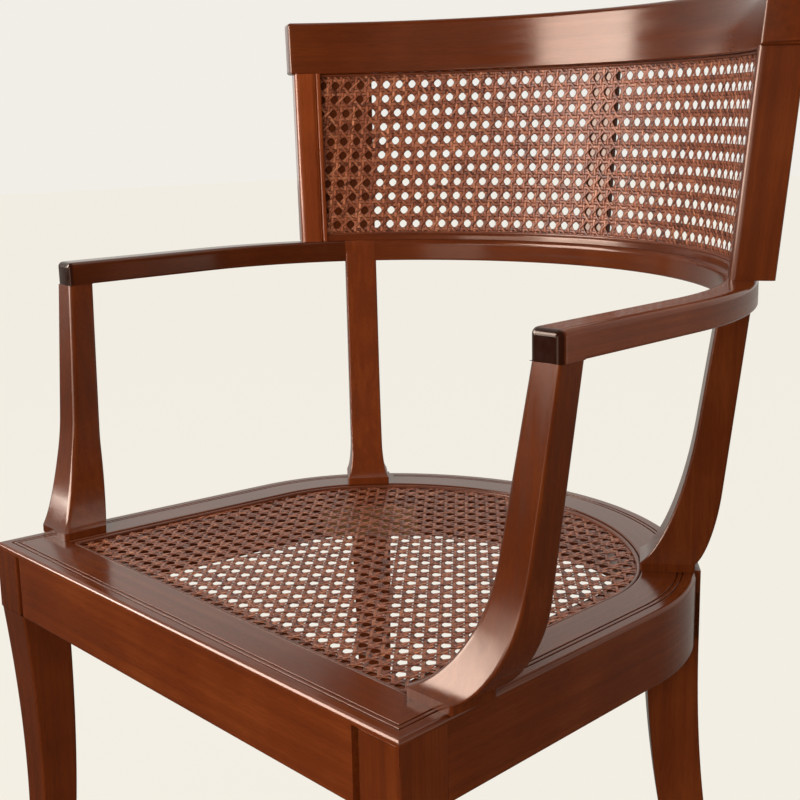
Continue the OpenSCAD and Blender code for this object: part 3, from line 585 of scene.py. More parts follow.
def build_pair(name: str, node: str, shells: Sequence[Shell], wood: bpy.types.Material,
               tones: tuple[float, float] = (1.0, 1.0)) -> None:
    """Builds a piece of the right side and its mirror image on the left.

    Args:
        name: Name of the piece, with {} for its side.
        node: CAD node that it replaces, with {} for its side.
        shells: Skins of the right one.
        wood: The finish.
        tones: How light the right and the left one are drawn, as read from the photograph: partly stain, partly
            painted light and shade.
    """
    for side, own, tone in (("right", list(shells), tones[0]), ("left", [s.mirrored() for s in shells], tones[1])):
        Piece(name.format(side), (node.format(side),), "polished_wood", own, tone).build(wood)


def in_frame(points: Array) -> Array:
    """Points in the classes' millimetres, turned into metres of the shared frame."""
    return (points - np.array([0, MID_Y, 0])) * MM


def store(mesh: bpy.types.Mesh, name: str, values: Array) -> None:
    """Stores a number or a vector for each point of a mesh."""
    kind, slot = ("FLOAT", "value") if values.ndim == 1 else ("FLOAT_VECTOR", "vector")
    mesh.attributes.new(name, kind, "POINT").data.foreach_set(slot, values.astype(np.float32).ravel())


def place_in_scene(name: str, data: bpy.types.ID | None) -> bpy.types.Object:
    """Makes an object of some data and links it to the scene.

    Args:
        name: Name of the object.
        data: Mesh, lamp or camera.

    Returns:
        The new object.
    """
    obj = bpy.data.objects.new(name, data)
    bpy.context.scene.collection.objects.link(obj)
    return obj


def signed_volume(points: Array, faces: Sequence[Sequence[int]]) -> float:
    """Measures the volume inside some faces, negative where they point inwards.

    Args:
        points: Corners.
        faces: Numbers of their corners.

    Returns:
        Six times the volume.
    """
    total = 0.0
    for f in faces:
        a = points[f[0]]
        for i in range(1, len(f) - 1):
            total += float(np.dot(a, np.cross(points[f[i]], points[f[i + 1]])))
    return total


def attach(obj: bpy.types.Object, slot: str, *nodes: str) -> None:
    """Hangs a piece on the chair, hides the CAD nodes that it stands for, and reports it.

    Args:
        obj: The piece.
        slot: Material slot of the record; not used.
        nodes: CAD nodes that it replaces.
    """
    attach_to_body(obj, BODY)
    if nodes:
        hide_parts(*nodes)
    log.info("%s: %d faces", obj.name, len(obj.data.polygons))


def stations(start: float, end: float, step: float, *extra: float) -> Array:
    """Places from start to end no further apart than a step, with some extra ones."""
    count = max(2, int(math.ceil((end - start) / step)) + 1)
    return np.unique(np.concatenate([np.linspace(start, end, count), [e for e in extra if start < e < end]]))


def sweep(track: Track, where: Array, section: Callable[[int, float], Array], seed: float,
          mirror_back: bool = False) -> Shell:
    """Carries a section of outward offsets and heights along a track.

    Args:
        track: Line in plan.
        where: Lengths at which there is a ring.
        section: Gives the section for a ring's number and length.
        seed: Offset of the grain, so that pieces differ.
        mirror_back: Carries the rings on through the mirror plane to the other side.

    Returns:
        The skin.
    """
    p, n = track.at(where)
    rings, grain = [], []
    for i, s in enumerate(where):
        sec = section(i, float(s))
        xy = p[i] + sec[:, :1] * n[i]
        rings.append(np.column_stack([xy, sec[:, 1]]))
        grain.append(np.column_stack([np.full(len(sec), s), sec[:, 0] + seed, sec[:, 1]]))
    if mirror_back:
        middle = np.array([2 * where[-1], 0, 0])
        rings += [ring * MIRROR for ring in rings[-2::-1]]
        grain += [middle + line * MIRROR for line in grain[-2::-1]]
    return Shell.loft(rings, grain)


def bezier(b: Sequence[float], t: float) -> float:
    """Value of a cubic curve of four control values at a share of its way."""
    u = 1 - t
    return b[0] * u ** 3 + 3 * b[1] * t * u * u + 3 * b[2] * t * t * u + b[3] * t ** 3


def swept(a: float, b: float, p: float, q: float) -> tuple[float, float, float, float]:
    """A curve that has gone the shares p and q of its way at its two middle control points."""
    return (a, a + p * (b - a), a + q * (b - a), b)


# ---------------------------------------------------------------- seat frame and legs


@dataclass
class SeatFrame:
    """Four rails with a mitred front, the double line, the rebate for the cane, and the legs."""

    curve: PlanCurve = PlanCurve(half_width=244.0, taper=0.068, corner_r=161.0, seam=40.0, reach=437.0)
    # Rails, with the polished border, the spline's groove and the ledge that the cane lies on.
    top: float = 445.0
    rail_h: float = 54.0
    rail_t: float = 27.0
    flange_t: float = 16.0
    border: float = 39.5
    front_border: float = 44.0
    spline_w: float = 4.0
    ledge: float = 12.5
    # Double line along the edge.
    line_at: float = 9.0
    line_span: float = 5.0
    line_w: float = 1.3
    line_depth: float = 1.1
    line_slant: float = 0.15
    groove_d: float = 11.0
    ledge_d: float = 3.8
    arris: float = 3.0
    # Leg blocks, with the upright reveal beside each.
    block_w: float = 40.0
    reveal_w: float = 6.0
    reveal_d: float = 5.0
    reveal_top: float = 4.0
    # Legs, from their toes up.
    glide_h: float = 4.0
    front_toe: float = 24.0
    toe_w: float = 26.0
    set_back: float = 12.0
    waist: float = 5.0
    leg_angle: float = 42.0
    rear_block_w: float = 36.0
    rear_block_d: float = 39.0
    rear_proud: float = 2.5
    tongue_t: float = 11.0
    rear_toe: float = 88.0
    flush: float = 0.25
    eased: float = 1.6
    leg_rings: int = 32

    def flange(self, border: float, low: float, line: float = 1.0) -> Array:
        """Section of the top board as inward distances and heights.

        Args:
            border: Width of polished wood up to the spline's groove.
            low: How far the outer face stands back under its lip.
            line: Share of the double line's depth, 0 where the lines stop.

        Returns:
            Section points.
        """
        z = self.top
        lip, bottom = z - self.reveal_top, z - self.flange_t
        # The lines never close quite, so the section has the same points where they stop.
        cut = z - (self.line_depth * line + 0.001)
        a, b = self.line_at, self.line_at + self.line_span
        w, slant = self.line_w, self.line_slant
        lines = [(a, z, 0.3), (a + slant, cut, 0), (a + w - slant, cut, 0), (a + w, z, 0.4),
                 (b - w, z, 0.4), (b - w + slant, cut, 0), (b - slant, cut, 0), (b, z, 0.3)]
        groove, ledge = z - self.groove_d, z - self.ledge_d
        far = border + self.spline_w
        return rounded([(low, bottom, 0), (low, lip, 0), (0, lip, 0), (0, z, self.arris), *lines, (border, z, 1.2),
                        (border, groove, 0), (far, groove, 0), (far, ledge, 0), (far + self.ledge, ledge, 0.8),
                        (far + self.ledge, bottom, 0.8)], steps=4, support=0.6)

    def apron(self) -> Array:
        """Section of the rail under the top board."""
        low, high = self.top - self.rail_h, self.top - self.flange_t
        return rounded([(0, low, 1.2), (0, high, 0), (self.rail_t, high, 0), (self.rail_t, low, 1.2)], steps=3)

    def mitre(self, section: Array, side: Array) -> Array:
        """Corner of each section point where front and side rails meet.

        Args:
            section: The front rail's section.
            side: The side rail's section.

        Returns:
            Points of the joint.
        """
        y = section[:, 0]
        slope = self.curve.slope
        return np.column_stack([self.curve.half_width - self.curve.taper * y - side[:, 0] * slope, y, section[:, 1]])

    def front_rail(self, wood: bpy.types.Material) -> None:
        """Front rail with an upright reveal beside each leg block."""
        block = self.curve.half_width - self.block_w
        places = [(0.0, 0.0), (block - STEP_IN, 0.0), (block, self.reveal_d),
                  (block + self.reveal_w - STEP_IN, self.reveal_d), (block + self.reveal_w, self.flush)]
        corner = self.mitre(self.flange(self.front_border, self.flush), self.flange(self.border, self.flush))
        # Inside the seat the mitre comes before the block, so no ring runs past it.
        half = [np.column_stack([np.minimum(x, corner[:, 0]), self.flange(self.front_border, low)])
                for x, low in places] + [corner]
        board = [ring * MIRROR for ring in half[:0:-1]] + half
        sec = self.apron()
        body = [np.column_stack([np.full(len(sec), x), sec]) for x in np.linspace(-block, block, 9)]
        # Its tone of 1.2 is painted light: the front face is drawn lighter, as it faces the lamps.
        Piece("front_rail", ("front_seat_rail",), "polished_wood",
              [Shell.loft(board, board), Shell.loft(body, body)], tone=1.2).build(wood)

    def split_length(self, track: Track, angle: float) -> float:
        """Length along the seat's edge at which an angle about the corner's centre is reached."""
        rel = track.points - self.curve.corner
        return track.length_where(np.degrees(np.arctan2(rel[:, 1], rel[:, 0])), angle)

    def side_and_back(self, wood: bpy.types.Material, line_end: Callable[[Track], float]) -> None:
        """Side rails up to the rear legs, and the bent back rail between them.

        Args:
            wood: The finish.
            line_end: Gives the length at which the double line begins again behind a rear post.
        """
        track = self.curve.track(0.0)
        split = self.split_length(track, self.leg_angle)
        past_block = self.block_w * self.curve.slope
        where = stations(0.0, split, RING_GAP, past_block - STEP_IN, past_block)[1:]

        def side_section(_: int, s: float) -> Array:
            """The top board, standing back over the leg block."""
            return self.flange(self.border, self.flush if s < past_block else 0.0) * INWARD

        top = sweep(track, where, side_section, seed=60.0)
        first = self.flange(self.border, self.flush)
        corner = self.mitre(self.flange(self.front_border, self.flush), first)
        # Points of the first rings that would lie before the mitre are kept on it.
        reached = (corner[:, 1] + self.curve.taper * (self.curve.half_width - corner[:, 0])) / self.curve.slope
        clipped = np.where((where[:, None] < reached)[:, :, None], corner, top.rings)
        start = np.column_stack([corner[:, 1], -first[:, 0] + 60.0, first[:, 1]])
        top = Shell.loft(np.concatenate([corner[None], clipped]), np.concatenate([start[None], top.grain]))
        low = self.apron() * INWARD
        body = sweep(track, stations(past_block, split, RING_GAP), lambda i, s: low, seed=60.0)
        build_pair("{}_side_rail", "{}_seat_rail", [top, body], wood)
        begin = line_end(track)
        where = stations(split, float(track.lengths[-1]), RING_GAP, begin - 0.15, begin + 0.15)

        def back_section(_: int, s: float) -> Array:
            """The top board, whose lines begin behind the rear post."""
            return self.flange(self.border, 0.0, 0.0 if s < begin else 1.0) * INWARD

        upper = sweep(track, where, back_section, seed=140.0, mirror_back=True)
        lower = sweep(track, where, lambda i, s: low, seed=140.0, mirror_back=True)
        Piece("back_rail", ("back_seat_rail",), "polished_wood", [upper, lower]).build(wood)

    def leg_shell(self, top: float, x: Sequence[Sequence[float]], y: Sequence[Sequence[float]], seed: float) -> Shell:
        """A swept shaft with eased edges between two pairs of curves.

        Args:
            top: Height at which the shaft begins.
            x: Inner and outer curves across.
            y: Front and back curves.
            seed: Offset of the grain.

        Returns:
            The skin in the leg's own frame.
        """
        rings, e = [], self.eased
        for i in range(self.leg_rings + 1):
            t = i / self.leg_rings
            x0, x1, y0, y1 = (bezier(curve, t) for curve in (*x, *y))
            sec = rounded([(x0, y0, e), (x1, y0, e), (x1, y1, e), (x0, y1, e)], steps=3, support=0.8)
            rings.append(np.column_stack([sec, np.full(len(sec), top - (top - self.glide_h) * t)]))
        return Shell.upright(rings, seed)

    def prism(self, plan: Sequence[tuple[float, float, float]], low: float, high: float, seed: float) -> Shell:
        """An upright block with eased ends.

        Args:
            plan: Corners with their radius.
            low: Height of its underside.
            high: Height of its top.
            seed: Offset of the grain.

        Returns:
            The skin.
        """
        sec = rounded(plan, steps=3, support=0.6)
        edge = 0.35
        heights = [(low, edge), (low + edge, 0.0), (high - edge, 0.0), (high, edge)]
        return Shell.upright([np.column_stack([inset(sec, d), np.full(len(sec), z)]) for z, d in heights], seed)

    def front_legs(self, wood: bpy.types.Material) -> None:
        """Square block with the reveal, and a sabre shaft to the toe."""
        block = self.curve.half_width - self.block_w
        outer = self.curve.side_x(self.block_w)
        low = self.top - self.rail_h
        hollow = outer - self.waist
        rv, rd, bw = self.reveal_w, self.reveal_d, self.block_w
        inner = block + 0.05
        plan = [(inner, rd, 0), (block + rv, rd, 0), (block + rv, 0, 1.0), (self.curve.half_width, 0, 2.0),
                (outer, bw, 0.5), (inner, bw, 0.5)]
        head = self.prism(plan, low, self.top - self.reveal_top + 0.3, seed=220.0)
        shaft = self.leg_shell(
            low, (swept(block, outer - self.toe_w, 0.2, 0.7), (outer, hollow, hollow, outer)),
            ((0, self.set_back, self.set_back, -self.front_toe),
             (bw, self.set_back + bw * 0.75, self.set_back + self.toe_w, self.toe_w - self.front_toe)), seed=220.0)
        build_pair("{}_front_leg", "front_{}_leg", [head, shaft], wood)

    def rear_frame(self, shell: Shell) -> Shell:
        """Puts a skin made at the origin on the rail's outer face at the rear leg, facing out.

        Args:
            shell: Skin with x outwards and y across.

        Returns:
            The skin in its place.
        """
        a = math.radians(self.leg_angle)
        x, y = self.curve.corner + self.curve.corner_r * heading(a)
        turn = np.array([[math.cos(a), math.sin(a), 0], [-math.sin(a), math.cos(a), 0], [0, 0, 1]])
        return shell.moved(shell.rings @ turn + np.array([x, y, 0]))

    def rear_legs(self, wood: bpy.types.Material) -> None:
        """Block and tongue in the rail, and a shaft that sweeps out behind."""
        inner, half = self.rear_proud - self.rear_block_d, self.rear_block_w / 2
        low = self.top - self.rail_h
        proud, seed = self.rear_proud, 300.0
        behind = proud - self.tongue_t
        head = self.prism([(inner, -half, 0.5), (proud, -half, 1.5), (proud, half, 1.5), (inner, half, 0.5)],
                          low, self.top - self.flange_t, seed)
        tongue = self.prism([(behind, -half, 0.3), (proud, -half, 1.5), (proud, half, 1.5), (behind, half, 0.3)],
                            low + 1, self.top + 0.12, seed)
        toe = self.toe_w / 2
        shaft = self.leg_shell(
            low, (swept(inner, self.rear_toe - self.toe_w, 0.04, 0.28), swept(proud, self.rear_toe, 0, 0.21)),
            (swept(-half, -toe, 0.6, 1), swept(half, toe, 0.6, 1)), seed)
        build_pair("{}_rear_leg", "rear_{}_leg", [self.rear_frame(s) for s in (head, tongue, shaft)], wood)


# ---------------------------------------------------------------- arms and posts


@dataclass
class ArmBow:
    """Arm rails, rear posts with heads in the rail, front posts, and the bow behind the seat."""

    curve: PlanCurve = PlanCurve(half_width=271.8, taper=0.039, corner_r=225.8, seam=45.0, reach=456.8)
    seat: SeatFrame = field(default_factory=SeatFrame)
    # Rail: its underside's height over the seat, its front end and its section.
    post_h: float = 199.0
    setback: float = 90.0
    width: float = 23.0
    height: float = 19.0
    rise: float = 0.5
    top_round: float = 4.0
    low_round: float = 1.5
    end_round: float = 4.6
    # Front posts: width and depth at both ends, lean of each face, and the height at which each sweeps out.
    post_top: tuple[float, float] = (22.3, 21.0)
    foot: tuple[float, float] = (40.5, 37.5)
    foot_setback: float = 41.3
    foot_proud: float = 2.0
    plinth: float = 6.0
    flare_outer: float = 60.0
    flare_inner: float = 78.0
    flare_front: float = 90.0
    lean: tuple[float, float, float, float] = (0.115, 0.0825, 0.113, 0.084)
    # Rear posts.
    rear_w: float = 28.4
    rear_top_d: float = 22.0
    rear_proud: float = 1.5
    rear_foot_d: float = 40.0
    rear_angle: float = 38.0
    rear_spread: float = 4.5
    rear_inset: float = 1.0
    rear_flare_side: float = 34.0
    rear_flare_inner: float = 110.0
    rear_lean: tuple[float, float] = (0.143, 0.114)
    line_stop: float = 6.0
    # Edges and rings of all posts.
    post_edge: float = 2.0
    post_inner_edge: float = 4.0
    post_rings: int = 44
    sweep_share: float = 0.985
    head_proud: float = 0.12

    @property
    def arm_z(self) -> float:
        """Height of the arm's underside at its front end."""
        return self.seat.top + self.post_h

    @property
    def head_angles(self) -> tuple[float, float]:
        """Angles about the corner's centre between which a rear post's head lies in the rail."""
        end = self.curve.seam
        return end - 2 * math.degrees(math.asin(self.rear_w / 2 / self.curve.corner_r)), end

    def raised(self, points: Array) -> Array:
        """Turns the level arm frame up by the arm's rise.

        Args:
            points: Points with heights over the arm's underside.

        Returns:
            Points in the part's own millimetres.
        """
        a = math.radians(self.rise)
        y, z = points[..., 1] - self.setback, points[..., 2]
        return np.stack([points[..., 0], self.setback + y * math.cos(a) - z * math.sin(a),
                         self.arm_z + y * math.sin(a) + z * math.cos(a)], -1)

    def section(self, low_round: float) -> Array:
        """Section of the rail about its centre line, with a radius for its lower edges."""
        x, h, r = self.width / 2, self.height, self.top_round
        return rounded([(x, 0, low_round), (x, h, r), (-x, h, r), (-x, 0, low_round)], steps=5, support=0.7)

    def lengths(self) -> tuple[Track, float, float]:
        """Measures the rail where a rear post's head lies in it.

        Returns:
            Track, start of the head and its end.
        """
        track = self.curve.track(self.setback)
        rel = track.points - self.curve.corner
        angle = np.degrees(np.arctan2(rel[:, 1], rel[:, 0]))
        a0, a1 = self.head_angles
        return track, track.length_where(angle, a0), track.length_where(angle, a1)

    def arm_shell(self) -> Shell:
        """Right arm from its rounded front end to the rear post's head.

        Returns:
            The skin.
        """
        track, head, _ = self.lengths()
        r, sec = self.end_round, self.section(self.low_round)
        # The lower edges are sharp over the post, where the two pieces run into each other.
        sharp, post = self.section(0.03), self.post_top[1]
        front = [(r * (1 - math.sin(a)), r * (1 - math.cos(a))) for a in np.radians([90, 75, 60, 45, 30, 15])]
        where = np.concatenate([[f[0] for f in front], stations(r, head, RING_GAP, r + 0.7, post, post + 0.3)])
        drops = [f[1] for f in front] + [0.0] * (len(where) - len(front))
        shell = sweep(track, where, lambda i, s: self.eased(sharp if s <= post else sec, drops[i]), seed=20.0)
        # End grain covers the rounding and fades out on its last ring.
        marks = np.zeros(shell.rings.shape[:2])
        marks[:len(front)] = 1.0
        marks[len(front) - 1] = 0.6
        return replace(shell, rings=self.raised(shell.rings), end_face=marks)

    def eased(self, section: Array, depth: float) -> Array:
        """Draws the section in at the front end, but not underneath, where the post carries it.

        Args:
            section: The section.
            depth: How far it is drawn in.

        Returns:
            The smaller section.
        """
        made = inset(section, depth)
        made[:, 1] = np.where(section[:, 1] < self.height / 2, section[:, 1], made[:, 1])
        return made

    def rails(self, wood: bpy.types.Material) -> None:
        """Both arm rails and the bow between the rear posts."""
        # The tones are painted light and shade: the right arm is drawn lighter, as its outer face catches the light,
        # and the left darker, as its inner face stands in shade.
        build_pair("{}_arm", "{}_arm_rail", [self.arm_shell()], wood, tones=(1.25, 0.66))
        track, _, end = self.lengths()
        sec = self.section(self.low_round)
        where = stations(end, float(track.lengths[-1]), RING_GAP)
        bow = sweep(track, where, lambda i, s: sec, seed=170.0, mirror_back=True)
        # Its tone of 1.05 is painted light, lifting the bow towards the sheen on its inner face.
        Piece("bow", ("back_bow",), "polished_wood", [bow.moved(self.raised(bow.rings))], tone=1.05).build(wood)

    def face(self, h: float, top: float, slope: float, foot: float, flare: float) -> float:
        """Place of a post's face at a height: a straight lean that sweeps away to the foot.

        Args:
            h: Height over the rail.
            top: Place at the arm's underside.
            slope: Lean for each millimetre of height.
            foot: Place at the foot.
            flare: Height at which the sweep begins.

        Returns:
            The face's place in the post's frame.
        """
        if h <= self.plinth:
            return foot
        t = min(max((flare - h) / (flare - self.plinth), 0.0), 1.0)
        bend = (1 - math.sqrt(1 - (self.sweep_share * t) ** 2)) / (1 - math.sqrt(1 - self.sweep_share ** 2))
        straight = top - slope * (self.post_h - self.plinth)
        return top - slope * (self.post_h - h) - (straight - foot) * bend

    def heights(self, top: float) -> list[float]:
        """Ring heights of a post, closer together near its foot."""
        shares = [(i / self.post_rings) ** 1.8 for i in range(self.post_rings + 1)]
        return [0.0, self.plinth * 0.5] + [self.plinth + (top - self.plinth) * share for share in shares]

    def post_shell(self, faces: Callable[[float], tuple[float, float, float, float]], top: float, seed: float,
                   edge: float) -> Shell:
        """An upright post with eased edges.

        Args:
            faces: Gives both faces across and both faces along at a height.
            top: Height at which the post ends.
            seed: Offset of the grain.
            edge: Rounding of the corner between the first faces. The others have the post's own.

        Returns:
            The skin in the post's frame.
        """
        rings, e = [], self.post_edge
        for h in self.heights(top):
            x0, x1, y0, y1 = faces(h)
            sec = rounded([(x0, y0, edge), (x1, y0, e), (x1, y1, e), (x0, y1, e)], steps=6, support=0.8)
            rings.append(np.column_stack([sec, np.full(len(sec), self.seat.top + h)]))
        return Shell.upright(rings, seed)

    def front_posts(self, wood: bpy.types.Material) -> None:
        """Posts under the front ends of the arms."""
        x0 = self.curve.side_x(self.setback) - self.width / 2
        foot_x = self.seat.curve.side_x(self.foot_setback) + self.foot_proud
        (tw, td), (fw, fd) = self.post_top, self.foot
        inner, outer, front, back = self.lean

        def faces(h: float) -> tuple[float, float, float, float]:
            """Inner, outer, front and back face."""
            return (self.face(h, x0, inner, foot_x - fw, self.flare_inner),
                    self.face(h, x0 + tw, outer, foot_x, self.flare_outer),
                    self.face(h, self.setback, front, self.foot_setback, self.flare_front),
                    self.face(h, self.setback + td, back, self.foot_setback + fd, self.flare_outer))

        shell = self.post_shell(faces, self.post_h + 0.1, seed=30.0, edge=self.post_inner_edge)
        # The tones are painted shade: the posts are drawn a little darker to offset the sheen on their faces.
        build_pair("{}_front_post", "front_{}_arm_post", [shell], wood, tones=(0.88, 0.95))

    def rear_place(self) -> tuple[Array, Array, Array]:
        """Places the right rear post.

        Returns:
            Middle of its top in plan, its outward direction, and the direction across it.
        """
        top = self.curve.corner + self.curve.corner_r * heading(math.radians(sum(self.head_angles) / 2))
        out = heading(math.radians(self.rear_angle))
        return top, out, np.array([-out[1], out[0]])

    def line_begins(self, track: Track) -> float:
        """Finds where the double line begins behind the rear post.

        Args:
            track: The seat's edge.

        Returns:
            Length along the seat's edge.
        """
        top, _, across = self.rear_place()
        groove = track.points - track.normals * (self.seat.line_at + self.seat.line_span / 2)
        side = (groove - top) @ across
        first = int(np.argmax(side > 0))
        stop = self.rear_w / 2 + self.rear_spread + self.line_stop
        return float(np.interp(stop, side[first:], track.lengths[first:]))

    def rear_posts(self, wood: bpy.types.Material) -> None:
        """Posts set across the rail, each with a head that is part of the rail."""
        top, out, across = self.rear_place()
        centre, r = self.seat.curve.corner, self.seat.curve.corner_r
        rel = top - centre
        # From the post's top, its outward line meets the seat's edge at this distance.
        along = float(rel @ out)
        reach = along - math.sqrt(along * along - float(rel @ rel) + r * r)
        foot_out = -reach - self.rear_inset
        inner = -self.width / 2 - self.rear_proud
        half = self.rear_w / 2
        spread = half + self.rear_spread

        def faces(h: float) -> tuple[float, float, float, float]:
            """Inner, outer and both side faces."""
            return (self.face(h, inner, self.rear_lean[0], foot_out - self.rear_foot_d, self.rear_flare_inner),
                    self.face(h, inner + self.rear_top_d, self.rear_lean[1], foot_out, self.flare_outer),
                    self.face(h, -half, 0, -spread, self.rear_flare_side),
                    self.face(h, half, 0, spread, self.rear_flare_side))

        # The shaft runs on inside the head, which shows the rail's own section with upright grain.
        shaft = self.post_shell(faces, self.post_h + 13.0, seed=90.0, edge=self.post_edge)
        flat = shaft.rings[..., :1] * out + shaft.rings[..., 1:2] * across + top
        shaft = shaft.moved(np.concatenate([flat, shaft.rings[..., 2:]], -1))
        track, start, end = self.lengths()
        grown = inset(self.section(self.low_round), -self.head_proud)
        head = sweep(track, stations(start, end, 4.0), lambda i, s: grown, seed=90.0)
        head = replace(head, rings=self.raised(head.rings), grain=np.roll(head.grain, 1, 2))
        # The tones are painted light and shade: the left post is drawn lighter, as its face turned to the middle
        # catches a reflection, and the right darker.
        build_pair("{}_rear_post", "rear_{}_arm_post", [shaft, head], wood, tones=(0.8, 1.4))


# ---------------------------------------------------------------- back


@dataclass
class Back:
    """Stiles, crest rail, lower slip and beads round the curved cane of the back."""

    arm: ArmBow = field(default_factory=ArmBow)
    total_h: float = 864.0
    lean: float = 5.4
    # Stiles, with the bead beside the cane and the quirk that sets it off.
    stile_d: float = 31.0
    stile_w: float = 24.0
    stile_inset: float = 8.7
    cane_angle: float = 35.8
    inset: float = 1.5
    stile_round: float = 5.0
    arris: float = 2.0
    bead: float = 4.6
    quirk: float = 1.5
    quirk_round: float = 3.2
    # Crest rail, lower slip and the reed beads.
    crest_h: float = 46.0
    crest_t: float = 27.0
    crest_round: float = 4.0
    slip_h: float = 5.0
    slip_t: float = 12.0
    spline: float = 2.4
    overhang: float = 0.6
    # Strips behind the cane.
    upright_out: float = 1.05
    upright_t: float = 4.8
    upright_w: float = 26.0
    upright_angle: float = 45.0
    band_rings: int = 36

    @property
    def radius(self) -> float:
        """Radius of the back cane at the top of the arm rail."""
        return self.arm.curve.back_r - self.inset

    @property
    def grow(self) -> float:
        """Growth of the radius for each millimetre of height."""
        return math.tan(math.radians(self.lean))

    def spread(self, half_width: float) -> float:
        """Angle about the bow's centre that a width covers to one side, in degrees."""
        return math.degrees(math.asin(half_width / self.radius))

    @property
    def stile_angle(self) -> float:
        """Angle about the bow's centre at which a stile stands."""
        return self.cane_angle - self.spread(self.stile_w / 2)

    @property
    def crest_in(self) -> float:
        """Distance of the crest's inner face from the cane."""
        return self.stile_d / 2 - self.stile_inset - self.crest_t / 2

    @property
    def top(self) -> float:
        """Height of the crest's top over the arm's underside, in the raised arm frame.

        Returns:
            Height in millimetres.
        """
        a = math.radians(self.arm.rise)
        h = self.arm.height
        foot = self.arm.curve.back_y + self.radius + self.crest_in + self.crest_t - self.grow * h
        room = self.total_h - self.arm.arm_z - (foot - self.arm.setback) * math.sin(a)
        return room / (math.cos(a) + self.grow * math.sin(a))

    @property
    def crest_z(self) -> float:
        """Height of the crest's underside in the raised arm frame."""
        return self.top - self.crest_h

    def place(self, angle: Array | float, out: Array | float, z: Array | float) -> Array:
        """Point of the leaning back.

        Args:
            angle: Angle about the bow's centre, in degrees.
            out: Distance outside the cane.
            z: Height in the arm frame.

        Returns:
            Points in the part's own millimetres.
        """
        a = np.radians(angle)
        r = self.radius + out + self.grow * (z - self.arm.height)
        flat = np.stack(np.broadcast_arrays(r * np.cos(a), self.arm.curve.back_y + r * np.sin(a), z), -1)
        return self.arm.raised(flat)

    def band(self, section: Array, start: float, seed: float, end: float = 0.0) -> Shell:
        """Carries a section of distances and heights round the back.

        Args:
            section: Distance outside the cane and height of each point.
            start: Angle at which the band begins on each side.
            seed: Offset of the grain.
            end: Rounding of the band's ends.

        Returns:
            The skin.
        """
        r = self.radius
        rings, grain = [], []
        spots = [(start + math.degrees(end * (1 - math.sin(t)) / r), end * (1 - math.cos(t)))
                 for t in np.radians([90, 60, 30])] if end else []
        spots += [(a, 0.0) for a in np.linspace(start + math.degrees(end / r), 90, self.band_rings)]
        spots += [(180 - a, d) for a, d in reversed(spots[:-1])]
        for a, d in spots:
            sec = inset(section, d) if d else section
            rings.append(self.place(a, sec[:, 0], sec[:, 1]))
            grain.append(np.column_stack([np.full(len(sec), math.radians(a) * r), sec[:, 0] + seed, sec[:, 1]]))
        return Shell.loft(rings, grain)

    def stile_section(self) -> Array:
        """Plan of a stile: rounded inner corner, flat, quirk and bead beside the cane.

        Returns:
            Points of the section.
        """
        w, d, q = self.stile_w / 2, self.stile_d, self.quirk
        b = self.bead / 2
        body = rounded([(0, -w, self.stile_round), (d, -w, self.arris), (d, w, self.arris), (b + 0.4, w, 0)],
                       steps=6, support=0.7)
        bead = [np.array([b, w - b]) + b * heading(t) for t in np.radians(np.arange(95, 256, 20))]
        beside = w - self.bead
        quirk = [[q + 1.2, beside - 0.1], [q, beside - 0.75]]
        return np.concatenate([body, bead, quirk, self.quirk_edge(beside - 1.0)])

    def quirk_edge(self, y: float) -> Array:
        """Rounded edge of the flat face beside the quirk.

        Args:
            y: Place across the stile at which the quirk ends.

        Returns:
            Points of the section, on from the quirk's bottom.
        """
        r = self.quirk_round
        # The rounding begins where it meets the bottom of the quirk.
        t = np.linspace(math.acos(self.quirk / r - 1) + 0.02, math.pi, 7)
        arc = np.stack([r + r * np.cos(t), y - r + r * np.sin(t)], 1)
        return np.concatenate([arc, [[0.0, y - r - 0.7]]])

    def stile_shell(self) -> Shell:
        """Right stile from the arm's top to the crest, leaning out.

        Returns:
            The skin.
        """
        sec = self.stile_section()
        lean = math.radians(self.lean)
        out = heading(math.radians(self.stile_angle))
        side = np.array([-out[1], out[0]])
        base = np.array([0, self.arm.curve.back_y]) + (self.radius - self.stile_inset) * out
        rings, grain = [], []
        for z in np.linspace(self.arm.height - 0.4, self.crest_z + 0.5, 12):
            # The section leans, so a point further out reaches the same height further along the stile.
            along = (z - self.arm.height + sec[:, 0] * math.sin(lean)) / math.cos(lean)
            reach = sec[:, 0] * math.cos(lean) + along * math.sin(lean)
            flat = base + reach[:, None] * out + sec[:, 1:] * side
            rings.append(self.arm.raised(np.column_stack([flat, np.full(len(sec), z)])))
            grain.append(np.column_stack([np.full(len(sec), z), sec + np.array([50.0, 500.0])]))
        return Shell.loft(rings, grain)

    def frame(self, wood: bpy.types.Material, reed: bpy.types.Material) -> None:
        """Builds the frame of the back, and the round beads that hold the cane's upper and lower edge.

        Args:
            wood: Finish of the frame.
            reed: Finish of the beads.
        """
